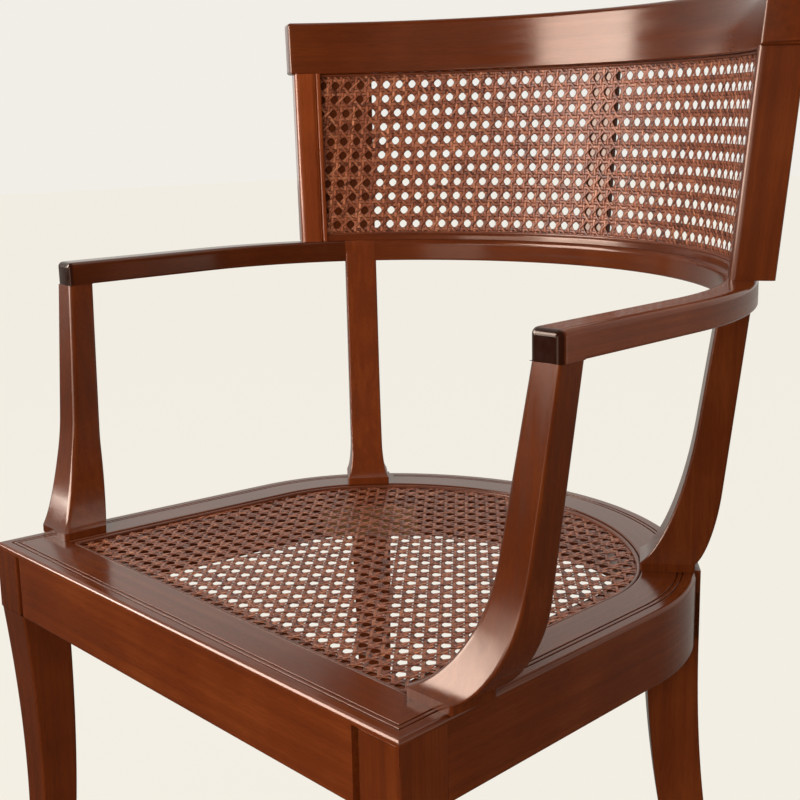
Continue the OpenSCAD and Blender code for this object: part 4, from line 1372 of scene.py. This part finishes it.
        # The tones are painted light: the left stile is drawn far lighter, as its inner face turns to the light, and
        # the right one stays darker.
        build_pair("{}_back_stile", "{}_stile", [self.stile_shell()], wood, tones=(0.95, 1.9))
        u0, u1, z = self.crest_in, self.crest_in + self.crest_t, self.crest_z
        r, h = self.crest_round, self.arm.height
        crest = rounded([(u0, z, 1.5), (u0, z + self.crest_h, r), (u1, z + self.crest_h, r), (u1, z, 1.5)],
                        steps=5, support=0.7)
        start = self.stile_angle - self.spread(self.stile_w / 2) - self.overhang
        crest_skin = self.band(crest, start, seed=240.0, end=2.5)
        Piece("crest", ("crest_rail",), "polished_wood", [crest_skin]).build(wood)
        t, foot, top = self.slip_t / 2, h - 0.3, h + self.slip_h
        slip = rounded([(-t, foot, 0), (-t, top, 1.4), (t, top, 1.4), (t, foot, 0)], steps=4, support=0.5)
        slip_skin = self.band(slip, self.cane_angle - 0.4, seed=330.0)
        Piece("slip", ("lower_slip",), "polished_wood", [slip_skin]).build(wood)
        b = self.spline / 2
        turn = np.radians(np.arange(0, 360, 36))
        beads = [self.band(np.stack([-0.8 - b + b * np.cos(turn), low + b + b * np.sin(turn)], 1),
                           self.cane_angle, seed=350.0) for low in (top - 0.6, z - self.spline)]
        Piece("back_beads", ("back_spline",), "reed_spline", beads).build(reed)

    def upright_shell(self, start: float, end: float, seed: float, keeps_width: bool = False) -> Shell:
        """Strip that stands close behind the cane, from the slip to the crest.

        Args:
            start: Angle about the bow's centre at which the strip begins.
            end: Angle at which it ends.
            seed: Offset of the grain.
            keeps_width: Whether it is as wide at the top as below, or widens with the panel.

        Returns:
            The skin.
        """
        u0, u1, e = self.upright_out, self.upright_out + self.upright_t, 0.8
        r = self.radius + (u0 + u1) / 2
        s0, s1 = math.radians(start) * r, math.radians(end) * r
        between = list(np.linspace(s0, s1, 10)[1:-1])
        sec = rounded([(s0, u0, e), *((s, u0, 0) for s in between), (s1, u0, e), (s1, u1, e),
                       *((s, u1, 0) for s in reversed(between)), (s0, u1, e)], steps=3, support=0.5)
        rings, grain = [], []
        for z in np.linspace(self.arm.height + self.slip_h - 0.3, self.crest_z + 0.3, 9):
            if keeps_width:
                # The panel grows with the height, so the strip's angles close a little.
                grown = r + self.grow * (z - self.arm.height)
                angle = (start + end) / 2 + np.degrees((sec[:, 0] - (s0 + s1) / 2) / grown)
            else:
                angle = start + np.degrees((sec[:, 0] - s0) / r)
            rings.append(self.place(angle, sec[:, 1], z))
            grain.append(np.column_stack([np.full(len(sec), z), sec + np.array([seed, 70.0])]))
        return Shell.loft(rings, grain)

    def uprights(self, wood: bpy.types.Material) -> None:
        """Builds the three strips behind the cane."""
        beside_stile = self.stile_angle + self.spread(self.stile_w / 2) - 0.05
        side = self.upright_shell(beside_stile, self.upright_angle, seed=410.0)
        # The tones are painted shade: the strips behind the cane are drawn dark, as they stand in its shade.
        build_pair("{}_upright", "{}_back_upright", [side], wood, tones=(0.6, 0.6))
        half = self.spread(self.upright_w / 2)
        middle = self.upright_shell(90 - half, 90 + half, seed=450.0, keeps_width=True)
        # Its tone of 0.4 is painted shade: the middle strip is drawn nearly black, as it stands deep in shade behind
        # the cane.
        Piece("middle_upright", ("middle_back_upright",), "polished_wood", [middle], tone=0.4).build(wood)


# ---------------------------------------------------------------- woven cane


class Strand(Enum):
    """Families of strands in six-way cane."""

    FORE = "front to back"
    ACROSS = "side to side"
    RISING = "diagonal to the right"
    FALLING = "diagonal to the left"

    @property
    def diagonal(self) -> bool:
        """Whether the family crosses the others at 45 degrees."""
        return self in (Strand.RISING, Strand.FALLING)

    @property
    def tone(self) -> float:
        """How light the family's strands are drawn beside the others."""
        return {Strand.FORE: 1.15, Strand.ACROSS: 0.85}.get(self, 0.9)


@dataclass(frozen=True)
class StrandLine:
    """Centre line of a strand, and the wave on which it passes over and under the others.

    Args:
        point: A point of the line.
        direction: Its direction.
        phase: Phase of the wave where its own coordinate is 0.
        lift: Height of the wave.
    """

    point: Array
    direction: Array
    phase: float
    lift: float


@dataclass
class CaneWeave:
    """Six-way cane: doubled strands both ways, crossed by two sets of diagonals between the openings."""

    # The lifts carry the strands over and under each other.
    pitch: float = 12.7
    width: float = 3.1
    diagonal_width: float = 2.75
    thickness: float = 0.5
    pair_gap: float = 1.46
    lift: float = 0.28
    diagonal_lift: float = 0.42
    step: float = 2.1
    shortest: float = 4.0
    seed: int = 7

    @property
    def turn(self) -> float:
        """Angle of the strands' wave for each millimetre."""
        return 2 * math.pi / self.pitch

    def tree(self) -> bpy.types.NodeTree:
        """Makes the Geometry Nodes tree that turns centre lines into waved ribbons.

        Each point of a line carries "wave", the wave's angle per metre along x and y, and "wave_lift", the wave's
        height, its phase, and the number that sets the strand's own tone.

        Returns:
            The node group.
        """
        group = bpy.data.node_groups.new("cane_ribbons", "GeometryNodeTree")
        face = group.interface
        face.new_socket("Geometry", in_out="INPUT", socket_type="NodeSocketGeometry")
        for name, value in (("Ribbon Width", 0.0025), ("Ribbon Thickness", 0.0008), ("Step", 0.002)):
            face.new_socket(name, in_out="INPUT", socket_type="NodeSocketFloat").default_value = value
        face.new_socket("Finish", in_out="INPUT", socket_type="NodeSocketMaterial")
        face.new_socket("Geometry", in_out="OUTPUT", socket_type="NodeSocketGeometry")
        start = add_node(group, "NodeGroupInput")
        curve = add_node(group, "GeometryNodeMeshToCurve", {"Mesh": start.outputs["Geometry"]})
        fine = add_node(group, "GeometryNodeResampleCurve", {"Curve": curve.outputs["Curve"],
                                                            "Length": start.outputs["Step"]}, mode="LENGTH")
        place = add_node(group, "GeometryNodeInputPosition")
        wave = add_node(group, "GeometryNodeInputNamedAttribute", {"Name": "wave"}, data_type="FLOAT_VECTOR")
        rest = add_node(group, "GeometryNodeInputNamedAttribute", {"Name": "wave_lift"}, data_type="FLOAT_VECTOR")
        parts = add_node(group, "ShaderNodeSeparateXYZ", {0: rest.outputs["Attribute"]})
        turn = add_node(group, "ShaderNodeVectorMath", {0: place.outputs["Position"], 1: wave.outputs["Attribute"]},
                        operation="DOT_PRODUCT")
        angle = add_node(group, "ShaderNodeMath", {0: turn.outputs["Value"], 1: parts.outputs["Y"]}, operation="ADD")
        cosine = add_node(group, "ShaderNodeMath", {0: angle.outputs[0]}, operation="COSINE")
        height = add_node(group, "ShaderNodeMath", {0: cosine.outputs[0], 1: parts.outputs["X"]}, operation="MULTIPLY")
        offset = add_node(group, "ShaderNodeCombineXYZ", {"Z": height.outputs[0]})
        waved = add_node(group, "GeometryNodeSetPosition", {"Geometry": fine.outputs["Curve"],
                                                           "Offset": offset.outputs["Vector"]})
        spline = add_node(group, "GeometryNodeSplineParameter")
        grain = add_node(group, "ShaderNodeCombineXYZ", {"X": spline.outputs["Length"], "Y": parts.outputs["Z"],
                                                        "Z": 0.0})
        kept = add_node(group, "GeometryNodeStoreNamedAttribute", {"Geometry": waved.outputs["Geometry"],
                                                                  "Name": "grain", "Value": grain.outputs["Vector"]},
                        data_type="FLOAT_VECTOR", domain="POINT")
        up = add_node(group, "GeometryNodeSetCurveNormal", {"Curve": kept.outputs["Geometry"]}, mode="Z_UP")
        ring = add_node(group, "GeometryNodeCurvePrimitiveCircle", {"Resolution": 6, "Radius": 0.5}, mode="RADIUS")
        size = add_node(group, "ShaderNodeCombineXYZ", {"X": start.outputs["Ribbon Width"],
                                                       "Y": start.outputs["Ribbon Thickness"], "Z": 1.0})
        # Each point knows how near it lies to its strand's side, where the finish paints the shade of the gaps between
        # strands.
        sides = add_node(group, "ShaderNodeSeparateXYZ", {0: place.outputs["Position"]})
        out = add_node(group, "ShaderNodeMath", {0: sides.outputs["X"]}, operation="ABSOLUTE")
        gap_shade = add_node(group, "ShaderNodeMath", {0: out.outputs[0], 1: 2.0}, operation="MULTIPLY")
        gap_shaded = add_node(group, "GeometryNodeStoreNamedAttribute", {"Geometry": ring.outputs["Curve"], "Name": "gap_shade",
                                                                    "Value": gap_shade.outputs[0]},
                          data_type="FLOAT", domain="POINT")
        flat = add_node(group, "GeometryNodeTransform", {"Geometry": gap_shaded.outputs["Geometry"],
                                                        "Scale": size.outputs["Vector"]})
        ribbon = add_node(group, "GeometryNodeCurveToMesh", {"Curve": up.outputs["Curve"],
                                                            "Profile Curve": flat.outputs["Geometry"]})
        ribbon.inputs["Fill Caps"].default_value = True
        smooth = add_node(group, "GeometryNodeSetShadeSmooth", {"Geometry": ribbon.outputs["Mesh"]})
        real = add_node(group, "GeometryNodeRealizeInstances", {"Geometry": smooth.outputs["Geometry"]})
        dressed = add_node(group, "GeometryNodeSetMaterial", {"Geometry": real.outputs["Geometry"],
                                                             "Material": start.outputs["Finish"]})
        add_node(group, "NodeGroupOutput", {"Geometry": dressed.outputs["Geometry"]})
        return group

    def lines(self, kind: Strand, origin: tuple[float, float], low: Array, high: Array) -> list[StrandLine]:
        """Centre lines of one family of strands over a box.

        Args:
            kind: Family.
            origin: Middle of one opening.
            low: Lowest corner of the box.
            high: Highest corner of the box.

        Returns:
            The centre lines.
        """
        p = self.pitch
        crossing = np.array(origin) + p / 2
        if kind.diagonal:
            sign = 1 if kind is Strand.RISING else -1
            reach = int((high[0] - low[0] + high[1] - low[1]) / p) + 3
            direction = np.array([1.0, sign]) / math.sqrt(2)
            phase = -float(crossing[0]) * self.turn
            return [StrandLine(crossing + np.array([(i + 0.5) * p, 0.0]), direction, phase, self.diagonal_lift * sign)
                    for i in range(-reach, reach + 1)]
        axis = 0 if kind is Strand.FORE else 1
        across, along = np.eye(2)[[axis, 1 - axis]]
        first = math.floor((low[axis] - crossing[axis]) / p) - 1
        last = math.ceil((high[axis] - crossing[axis]) / p) + 1
        phase = -float(crossing[1 - axis]) * self.turn - math.pi / 2
        # The first strand of each pair starts under, and the crossing pair answers it.
        lift = -self.lift if kind is Strand.FORE else self.lift
        return [StrandLine((crossing[axis] + i * p + side * self.pair_gap) * across, along, phase, lift * side)
                for i in range(first, last + 1) for side in (-1, 1)]

    def ribbons(self, name: str, kind: Strand, origin: tuple[float, float], outline: Array, z: float,
                cane: bpy.types.Material, group: bpy.types.NodeTree) -> bpy.types.Object:
        """Ribbons of one family, cut to a convex outline.

        Args:
            name: Name of the object.
            kind: Family of strands.
            origin: Middle of one opening.
            outline: Corners of a convex outline, anticlockwise.
            z: Height of the weave's middle.
            cane: Finish.
            group: The ribbon tree.

        Returns:
            A plain mesh object, not yet attached.
        """
        points, lifts = [], []
        random = np.random.default_rng(self.seed)
        for line in self.lines(kind, origin, outline.min(0), outline.max(0)):
            span = clip_line(line.point, line.direction, outline)
            if span is None or span[1] - span[0] < self.shortest:
                continue
            tone = float(random.uniform(0, 900))
            for t in span:
                x, y = line.point + line.direction * t
                points.append((x * MM, y * MM, z * MM))
                lifts.append((line.lift * MM, line.phase, tone))
        wave = (0, self.turn / MM, 0) if kind is Strand.FORE else (self.turn / MM, 0, 0)
        mesh = bpy.data.meshes.new(name + "_lines")
        mesh.from_pydata(points, [(i, i + 1) for i in range(0, len(points), 2)], [])
        store(mesh, "wave", np.array([wave] * len(points)))
        store(mesh, "wave_lift", np.array(lifts))
        obj = place_in_scene(name + "_lines", mesh)
        modifier = obj.modifiers.new("ribbons", "NODES")
        modifier.node_group = group
        width, step = (self.diagonal_width, self.step * 1.1) if kind.diagonal else (self.width, self.step)
        values = {"Ribbon Width": width * MM, "Ribbon Thickness": self.thickness * MM, "Step": step * MM,
                  "Finish": cane}
        for item in group.interface.items_tree:
            if item.item_type == "SOCKET" and item.in_out == "INPUT" and item.name in values:
                modifier[item.identifier] = values[item.name]
        bpy.context.view_layer.update()
        graph = bpy.context.evaluated_depsgraph_get()
        made = bpy.data.meshes.new_from_object(obj.evaluated_get(graph))
        bpy.data.objects.remove(obj)
        made.name = name
        store(made, "tone", np.full(len(made.vertices), kind.tone))
        return place_in_scene(name, made)


def clip_line(point: Array, direction: Array, outline: Array) -> tuple[float, float] | None:
    """Cuts a line to a convex outline.

    Args:
        point: A point of the line.
        direction: Its direction.
        outline: Corners, anticlockwise.

    Returns:
        Distances from the point at which the line enters and leaves, or None.
    """
    low, high = -math.inf, math.inf
    for a, b in zip(outline, np.roll(outline, -1, 0)):
        edge = b - a
        inward = np.array([-edge[1], edge[0]])
        rate, gap = float(inward @ direction), float(inward @ (point - a))
        if abs(rate) < 1e-9:
            if gap < 0:
                return None
            continue
        t = -gap / rate
        if rate > 0:
            low = max(low, t)
        else:
            high = min(high, t)
    return (low, high) if high > low else None


@dataclass
class SeatCane:
    """Cane of the seat in its groove, with the reed spline over its edge."""

    seat: SeatFrame = field(default_factory=SeatFrame)
    weave: CaneWeave = field(default_factory=CaneWeave)
    opening_at: tuple[float, float] = (-2.916, 90.0)
    middle_z: float = 441.9
    spline_top: float = 444.2
    spline_crown: float = 1.5
    spline_h: float = 9.0
    corner: float = 7.0

    def outline(self, grow: float) -> Array:
        """Draws the outline of the cane inside the border.

        Args:
            grow: How far it reaches over the border, negative where it stays inside it.

        Returns:
            Corners, anticlockwise.
        """
        c = self.seat.curve
        side, front = self.seat.border - grow, self.seat.front_border - grow
        track = c.track(0.0)
        right = track.points - track.normals * side
        # Every twelfth point of the track is close enough for the outline.
        right = right[right[:, 1] > front + 0.5][::12]
        half = np.concatenate([[[c.side_x(front, -side), front]], right])
        return np.concatenate([half, half[::-1] * MIRROR[:2]])

    def build(self, cane: bpy.types.Material, reed: bpy.types.Material, group: bpy.types.NodeTree) -> None:
        """Weaves the seat and lays its spline.

        Args:
            cane: Finish of the weave.
            reed: Finish of the spline.
            group: The ribbon tree.
        """
        # The cane ends inside the groove, under the spline.
        outline = self.outline(grow=-self.seat.spline_w * 0.6)
        for kind, name in ((Strand.FORE, "seat_cane_lengthwise"), (Strand.ACROSS, "seat_cane_crosswise"),
                           (Strand.RISING, "seat_cane_diagonal_right"), (Strand.FALLING, "seat_cane_diagonal_left")):
            obj = self.weave.ribbons(name, kind, self.opening_at, outline, self.middle_z, cane, group)
            obj.data.transform(Matrix.Translation((0, -MID_Y * MM, 0)))
            attach(obj, "woven_cane", *(("seat_cane",) if kind is Strand.FORE else ()))
        self.spline(reed)

    def spline(self, reed: bpy.types.Material) -> None:
        """Presses a half-round reed into the groove round the cane.

        Args:
            reed: Its finish.
        """
        dense = smooth_corners(self.outline(grow=-self.seat.spline_w / 2 - 0.05), self.corner)
        ahead = np.roll(dense, -1, 0) - np.roll(dense, 1, 0)
        ahead /= np.linalg.norm(ahead, axis=1, keepdims=True)
        normal = np.stack([ahead[:, 1], -ahead[:, 0]], 1)
        w = self.seat.spline_w / 2 - 0.15
        low, shoulder = self.spline_top - self.spline_h, self.spline_top - self.spline_crown
        t = np.radians(np.linspace(0, 180, 9))
        crown = np.stack([w * np.cos(t), shoulder + self.spline_crown * np.sin(t)], 1)
        sec = np.concatenate([crown, [[-w, low], [w, low]]])
        rings = [np.column_stack([p + sec[:, :1] * n, sec[:, 1]]) for p, n in zip(dense, normal)]
        grain = [np.column_stack([np.full(len(sec), s), sec]) for s in running_length(dense)]
        loop = Shell.loft(rings, grain, looped=True)
        Piece("seat_reed", ("seat_spline",), "reed_spline", [loop]).build(reed, smooth_deg=40.0)


def smooth_corners(line: Array, radius: float) -> Array:
    """Rounds the sharp corners of a closed line.

    Args:
        line: Points of the line.
        radius: Radius of the rounding.

    Returns:
        Points of the rounded line.
    """
    made = []
    for before, here, after in zip(np.roll(line, 1, 0), line, np.roll(line, -1, 0)):
        a, b = here - before, after - here
        la, lb = np.linalg.norm(a), np.linalg.norm(b)
        if la < 1e-6:
            continue
        turn = math.acos(float(np.clip(a @ b / (la * lb), -1, 1)))
        if turn < math.radians(20):
            made.append(here)
            continue
        cut = radius * math.tan(turn / 2)
        start, end = here - a / la * cut, here + b / lb * cut
        for t in np.linspace(0, 1, 9):
            made.append((1 - t) ** 2 * start + 2 * t * (1 - t) * here + t * t * end)
    return np.array(made)


@dataclass
class BackCane:
    """Cane of the back, woven flat and bent round the leaning panel.

    Args:
        back: The frame of the back.
        weave: The weave.
        opening: Middle of one opening, across and up, on the panel.
        pitch_across: Distance between openings across.
        pitch_up: Distance between openings upwards.
        middle: Height at which the pitch across holds.
        under_edge: Angle by which the cane runs on under the stiles.
    """

    back: Back = field(default_factory=Back)
    weave: CaneWeave = field(default_factory=CaneWeave)
    opening: tuple[float, float] = (3.92, 33.0)
    pitch_across: float = 12.2
    pitch_up: float = 12.68
    middle: float = 71.0
    under_edge: float = 0.7

    def bent(self, flat: Array) -> Array:
        """Bends flat weave on the leaning panel, where rows stay level and columns stay upright, seen from in front.

        Args:
            flat: Points as distance across, distance up and height over the weave, in weave millimetres.

        Returns:
            Points in the part's own millimetres.
        """
        w, middle = self.weave.pitch, self.radius_at(self.middle)
        z = flat[:, 1] * self.pitch_up / w
        x = middle * np.sin(flat[:, 0] * self.pitch_across / w / middle)
        return self.back.place(np.degrees(np.arccos(np.clip(x / self.radius_at(z), -1, 1))), -flat[:, 2], z)

    def radius_at(self, z: Array | float) -> Array | float:
        """Radius of the panel at a height in the arm frame."""
        return self.back.radius + self.back.grow * (z - self.back.arm.height)

    def across(self, z: float) -> float:
        """Finds the panel's edge in the flat weave.

        Args:
            z: Height in the arm frame.

        Returns:
            Distance of the edge from the middle, in weave millimetres.
        """
        x = self.radius_at(z) * math.cos(math.radians(self.back.cane_angle - self.under_edge))
        middle = self.radius_at(self.middle)
        return middle * math.asin(min(1.0, x / middle)) * self.weave.pitch / self.pitch_across

    def build(self, cane: bpy.types.Material, group: bpy.types.NodeTree) -> None:
        """Weaves the panel flat and bends it into place.

        Args:
            cane: Finish of the weave.
            group: The ribbon tree.
        """
        b, w = self.back, self.weave.pitch
        low, high = b.arm.height + 2.5, b.crest_z + 3.0
        up = w / self.pitch_up
        outline = np.array([[-self.across(low), low * up], [self.across(low), low * up],
                            [self.across(high), high * up], [-self.across(high), high * up]])
        opening = (self.opening[0] * w / self.pitch_across, self.opening[1] * up)
        for kind, name in ((Strand.FORE, "back_cane_upright"), (Strand.ACROSS, "back_cane_crosswise"),
                           (Strand.RISING, "back_cane_diagonal_right"), (Strand.FALLING, "back_cane_diagonal_left")):
            obj = self.weave.ribbons(name, kind, opening, outline, 0.0, cane, group)
            mesh = obj.data
            co = np.zeros(len(mesh.vertices) * 3, np.float32)
            mesh.vertices.foreach_get("co", co)
            bent = in_frame(self.bent(co.reshape(-1, 3).astype(float) / MM))
            mesh.vertices.foreach_set("co", bent.astype(np.float32).ravel())
            mesh.update()
            attach(obj, "woven_cane", *(("back_cane",) if kind is Strand.FORE else ()))


# ---------------------------------------------------------------- studio


@dataclass(frozen=True)
class Lamp:
    """A soft rectangular lamp.

    Args:
        name: Name of the lamp.
        at: Place in metres.
        aim: Point that it faces.
        size: Width and height in metres.
        watts: Power.
        tint: Colour of the light.
        lights: Whether it lights matt surfaces, or is a panel that is only mirrored.
        mirrored: Whether polished wood mirrors it.
    """

    name: str
    at: tuple[float, float, float]
    aim: tuple[float, float, float]
    size: tuple[float, float]
    watts: float
    tint: str
    lights: bool = True
    mirrored: bool = True

    def build(self) -> None:
        """Hangs the lamp."""
        data = bpy.data.lights.new(self.name, "AREA")
        data.shape, data.energy = "RECTANGLE", self.watts
        data.size, data.size_y = self.size
        data.color = linear(self.tint)[:3]
        obj = place_in_scene(self.name, data)
        obj.location = self.at
        obj.rotation_mode = "QUATERNION"
        obj.rotation_quaternion = (Vector(self.aim) - Vector(self.at)).to_track_quat("-Z", "Y")
        obj.visible_camera = False
        obj.visible_diffuse = self.lights
        obj.visible_glossy = self.mirrored


MIDDLE = (0.0, 0.0, 0.55)
LAMPS = (
    Lamp("window", (-0.71, -0.82, 1.02), (0.2, -0.2, 0.46), (0.75, 0.75), 32.0, "#fff6ec", lights=False),
    Lamp("key", (0.8, -2.1, 1.25), MIDDLE, (1.5, 1.5), 33.0, "#fff1e0", mirrored=False),
    Lamp("left_fill", (-1.8, -0.8, 1.9), MIDDLE, (1.2, 1.2), 8.0, "#fff6ec", mirrored=False),
    Lamp("side_fill", (2.4, -0.3, 1.3), MIDDLE, (1.2, 1.2), 3.0, "#fff0dc", mirrored=False),
    Lamp("ridge_panel", (-0.55, -2.3, 0.76), (-0.2, 0.15, 0.76), (1.8, 0.36), 12.0, "#fff6ec", lights=False),
    Lamp("low_panel", (0.4, -2.3, 0.3), (-0.1, 0.2, 0.66), (0.9, 0.9), 4.6, "#fff3e6"),
    Lamp("top", (0.2, 0.9, 3.0), MIDDLE, (2.0, 2.0), 9.0, "#fffaf2"),
    Lamp("side_panel", (2.0, 1.5, 0.42), (0.0, 0.0, 0.6), (0.7, 0.7), 1.6, "#fff8ee"),
)


@dataclass(frozen=True)
class Studio:
    """Pale floor, soft light and the photograph's camera."""

    # Found from the cane's half-inch lattice in the photograph.
    camera_at: tuple[float, float, float] = (0.73304, -0.66839, 0.77380)
    azimuth: float = 48.014
    elevation: float = 12.060
    roll: float = 1.090
    lens: float = 58.85
    # Floor and walls, as lit, as seen by the camera and as mirrored in polished wood.
    floor_half: float = 14.0
    floor: str = "#cdc9c0"
    backdrop: str = "#f1eee7"
    floor_seen: str = "#faf5ea"
    floor_shown: float = 0.9
    floor_mirrored: tuple[float, float] = (0.03, 0.7)
    sky_light: float = 0.45
    room_light: float = 0.04
    wall_towards: tuple[float, float, float] = (-0.55, 0.83, 0.0)

    def camera(self) -> None:
        """Sets the camera up where the photograph was taken from."""
        a, e, r = (math.radians(v) for v in (self.azimuth, self.elevation, self.roll))
        back = Vector((math.sin(a) * math.cos(e), -math.cos(a) * math.cos(e), math.sin(e)))
        right = Vector((math.cos(a), math.sin(a), 0))
        down = (-back).cross(right)
        turned = math.cos(r) * right + math.sin(r) * down
        lowered = -math.sin(r) * right + math.cos(r) * down
        data = bpy.data.cameras.new("photo_camera")
        data.lens, data.sensor_width, data.sensor_fit = self.lens, 36.0, "HORIZONTAL"
        data.clip_start, data.clip_end = 0.05, 60.0
        obj = place_in_scene("photo_camera", data)
        obj.matrix_world = Matrix((
            (turned.x, -lowered.x, back.x, self.camera_at[0]), (turned.y, -lowered.y, back.y, self.camera_at[1]),
            (turned.z, -lowered.z, back.z, self.camera_at[2]), (0, 0, 0, 1)))
        bpy.context.scene.camera = obj

    def ground(self) -> None:
        """Makes the pale floor."""
        mesh = bpy.data.meshes.new("floor")
        s = self.floor_half
        mesh.from_pydata([(-s, -s, 0), (s, -s, 0), (s, s, 0), (-s, s, 0)], [], [(0, 1, 2, 3)])
        mat = blank_material("pale_studio_floor")
        t = mat.node_tree
        lit = add_node(t, "ShaderNodeBsdfPrincipled", {"Base Color": linear(self.floor), "Roughness": 0.9, "IOR": 1.2})
        shown = add_node(t, "ShaderNodeEmission", {"Color": linear(self.floor_seen), "Strength": 1.0})
        path = add_node(t, "ShaderNodeLightPath")
        share = add_node(t, "ShaderNodeMath", {0: path.outputs["Is Camera Ray"], 1: self.floor_shown},
                         operation="MULTIPLY")
        pale = add_node(t, "ShaderNodeMixShader", {0: share.outputs[0], 1: lit.outputs[0], 2: shown.outputs[0]})
        # Polished wood mirrors a dimmer floor than the camera sees, as in a furnished room, and it is darkest on the
        # camera's side.
        spot = add_node(t, "ShaderNodeTexCoord")
        beyond = add_node(t, "ShaderNodeVectorMath", {0: spot.outputs["Object"], 1: self.wall_towards},
                          operation="DOT_PRODUCT")
        strength = add_node(t, "ShaderNodeMapRange", {
            "Value": beyond.outputs["Value"], "From Min": -0.3, "From Max": 1.6, "To Min": self.floor_mirrored[0],
            "To Max": self.floor_mirrored[1]}, interpolation_type="SMOOTHSTEP")
        dim = add_node(t, "ShaderNodeEmission", {"Color": linear(self.floor), "Strength": strength.outputs["Result"]})
        mix = add_node(t, "ShaderNodeMixShader", {0: path.outputs["Is Glossy Ray"], 1: pale.outputs[0],
                                                 2: dim.outputs[0]})
        add_node(t, "ShaderNodeOutputMaterial", {"Surface": mix.outputs[0]})
        mesh.materials.append(mat)
        place_in_scene("floor", mesh)

    def walls(self) -> None:
        """Pale surroundings that the camera and glossy wood see as the studio's walls."""
        world = bpy.data.worlds.new("studio")
        bpy.context.scene.world = world
        world.use_nodes = True
        t = world.node_tree
        t.nodes.clear()
        path = add_node(t, "ShaderNodeLightPath")
        seen = add_node(t, "ShaderNodeMath", {0: path.outputs["Is Camera Ray"],
                                             1: path.outputs["Is Transmission Ray"]}, operation="MAXIMUM")
        # Polished wood mirrors the pale wall behind the chair, and the dimmer room on the camera's side.
        towards = add_node(t, "ShaderNodeTexCoord")
        facing = add_node(t, "ShaderNodeVectorMath", {0: towards.outputs["Generated"], 1: self.wall_towards},
                          operation="DOT_PRODUCT")
        bright = add_node(t, "ShaderNodeMapRange", {
            "Value": facing.outputs["Value"], "From Min": -0.25, "From Max": 0.6, "To Min": self.room_light,
            "To Max": 1.0}, interpolation_type="SMOOTHSTEP")
        sky = linear(self.backdrop)
        shown = add_node(t, "ShaderNodeBackground", {"Color": sky, "Strength": 1.0})
        mirrored_room = add_node(t, "ShaderNodeBackground", {"Color": sky, "Strength": bright.outputs["Result"]})
        light = add_node(t, "ShaderNodeBackground", {"Color": sky, "Strength": self.sky_light})
        first = add_node(t, "ShaderNodeMixShader", {0: path.outputs["Is Glossy Ray"], 1: light.outputs[0],
                                                   2: mirrored_room.outputs[0]})
        mix = add_node(t, "ShaderNodeMixShader", {0: seen.outputs[0], 1: first.outputs[0], 2: shown.outputs[0]})
        add_node(t, "ShaderNodeOutputWorld", {"Surface": mix.outputs[0]})

    def build(self) -> None:
        """Sets up camera, floor, world and lamps."""
        self.camera()
        self.ground()
        self.walls()
        for lamp in LAMPS:
            lamp.build()
        bpy.context.scene.view_settings.view_transform = "Standard"


def dress_hidden_nodes(finishes: dict[str, bpy.types.Material]) -> None:
    """Gives the CAD nodes that stay their real finishes.

    Args:
        finishes: Material for each slot of the record.
    """
    for row in frame["record"]["subparts"]:
        obj = frame["nodes"][row["node"]]
        if obj.hide_render:
            continue
        material = finishes[row["material_slot"]]
        obj.data.materials.clear()
        obj.data.materials.append(material)
        log.info("%s keeps its solid, in %s", obj.name, material.name)


def main() -> None:
    """Builds the chair and the studio in order."""
    logging.basicConfig(level=logging.INFO, format="%(message)s")
    # Frame: stained hardwood, whose bands and pores show softly through a clear gloss.
    wood = StainedWood().build()
    # Reed of the splines: rounder and duller than the frame, under one thin coat of its lacquer.
    reed = StainedWood(name="stained_reed", light="#8a4a2a", body="#6d3319", dark="#4a1f10", roughness=0.38,
                       lacquer=0.25).build()
    cane = StainedCane().build()
    # Sawn corner blocks and turned beech dowels never met the stain, so they stay pale and matt.
    inner = StainedWood(name="bare_hardwood_blocks", light="#b08a5e", body="#94704a", dark="#775536", roughness=0.7,
                        grain=Grain.ALONG_Y).build()
    pins = StainedWood(name="bare_beech_dowels", light="#d2b48a", body="#c0a077", dark="#a8875f", roughness=0.65,
                       grain=Grain.ALONG_Z).build()
    steel = ZincSteel().build()
    Studio().build()
    seat = SeatFrame()
    arm = ArmBow(seat=seat)
    back = Back(arm=arm)
    seat.front_rail(wood)
    seat.side_and_back(wood, arm.line_begins)
    seat.front_legs(wood)
    seat.rear_legs(wood)
    arm.rails(wood)
    arm.front_posts(wood)
    arm.rear_posts(wood)
    back.frame(wood, reed)
    back.uprights(wood)
    weave = CaneWeave()
    group = weave.tree()
    SeatCane(seat=seat, weave=weave).build(cane, reed, group)
    BackCane(back=back, weave=weave).build(cane, group)
    dress_hidden_nodes({"polished_wood": wood, "reed_spline": reed, "woven_cane": cane, "steel": steel,
                        "inner_wood": inner, "dowel_wood": pins})


if __name__ == "__main__":
    main()
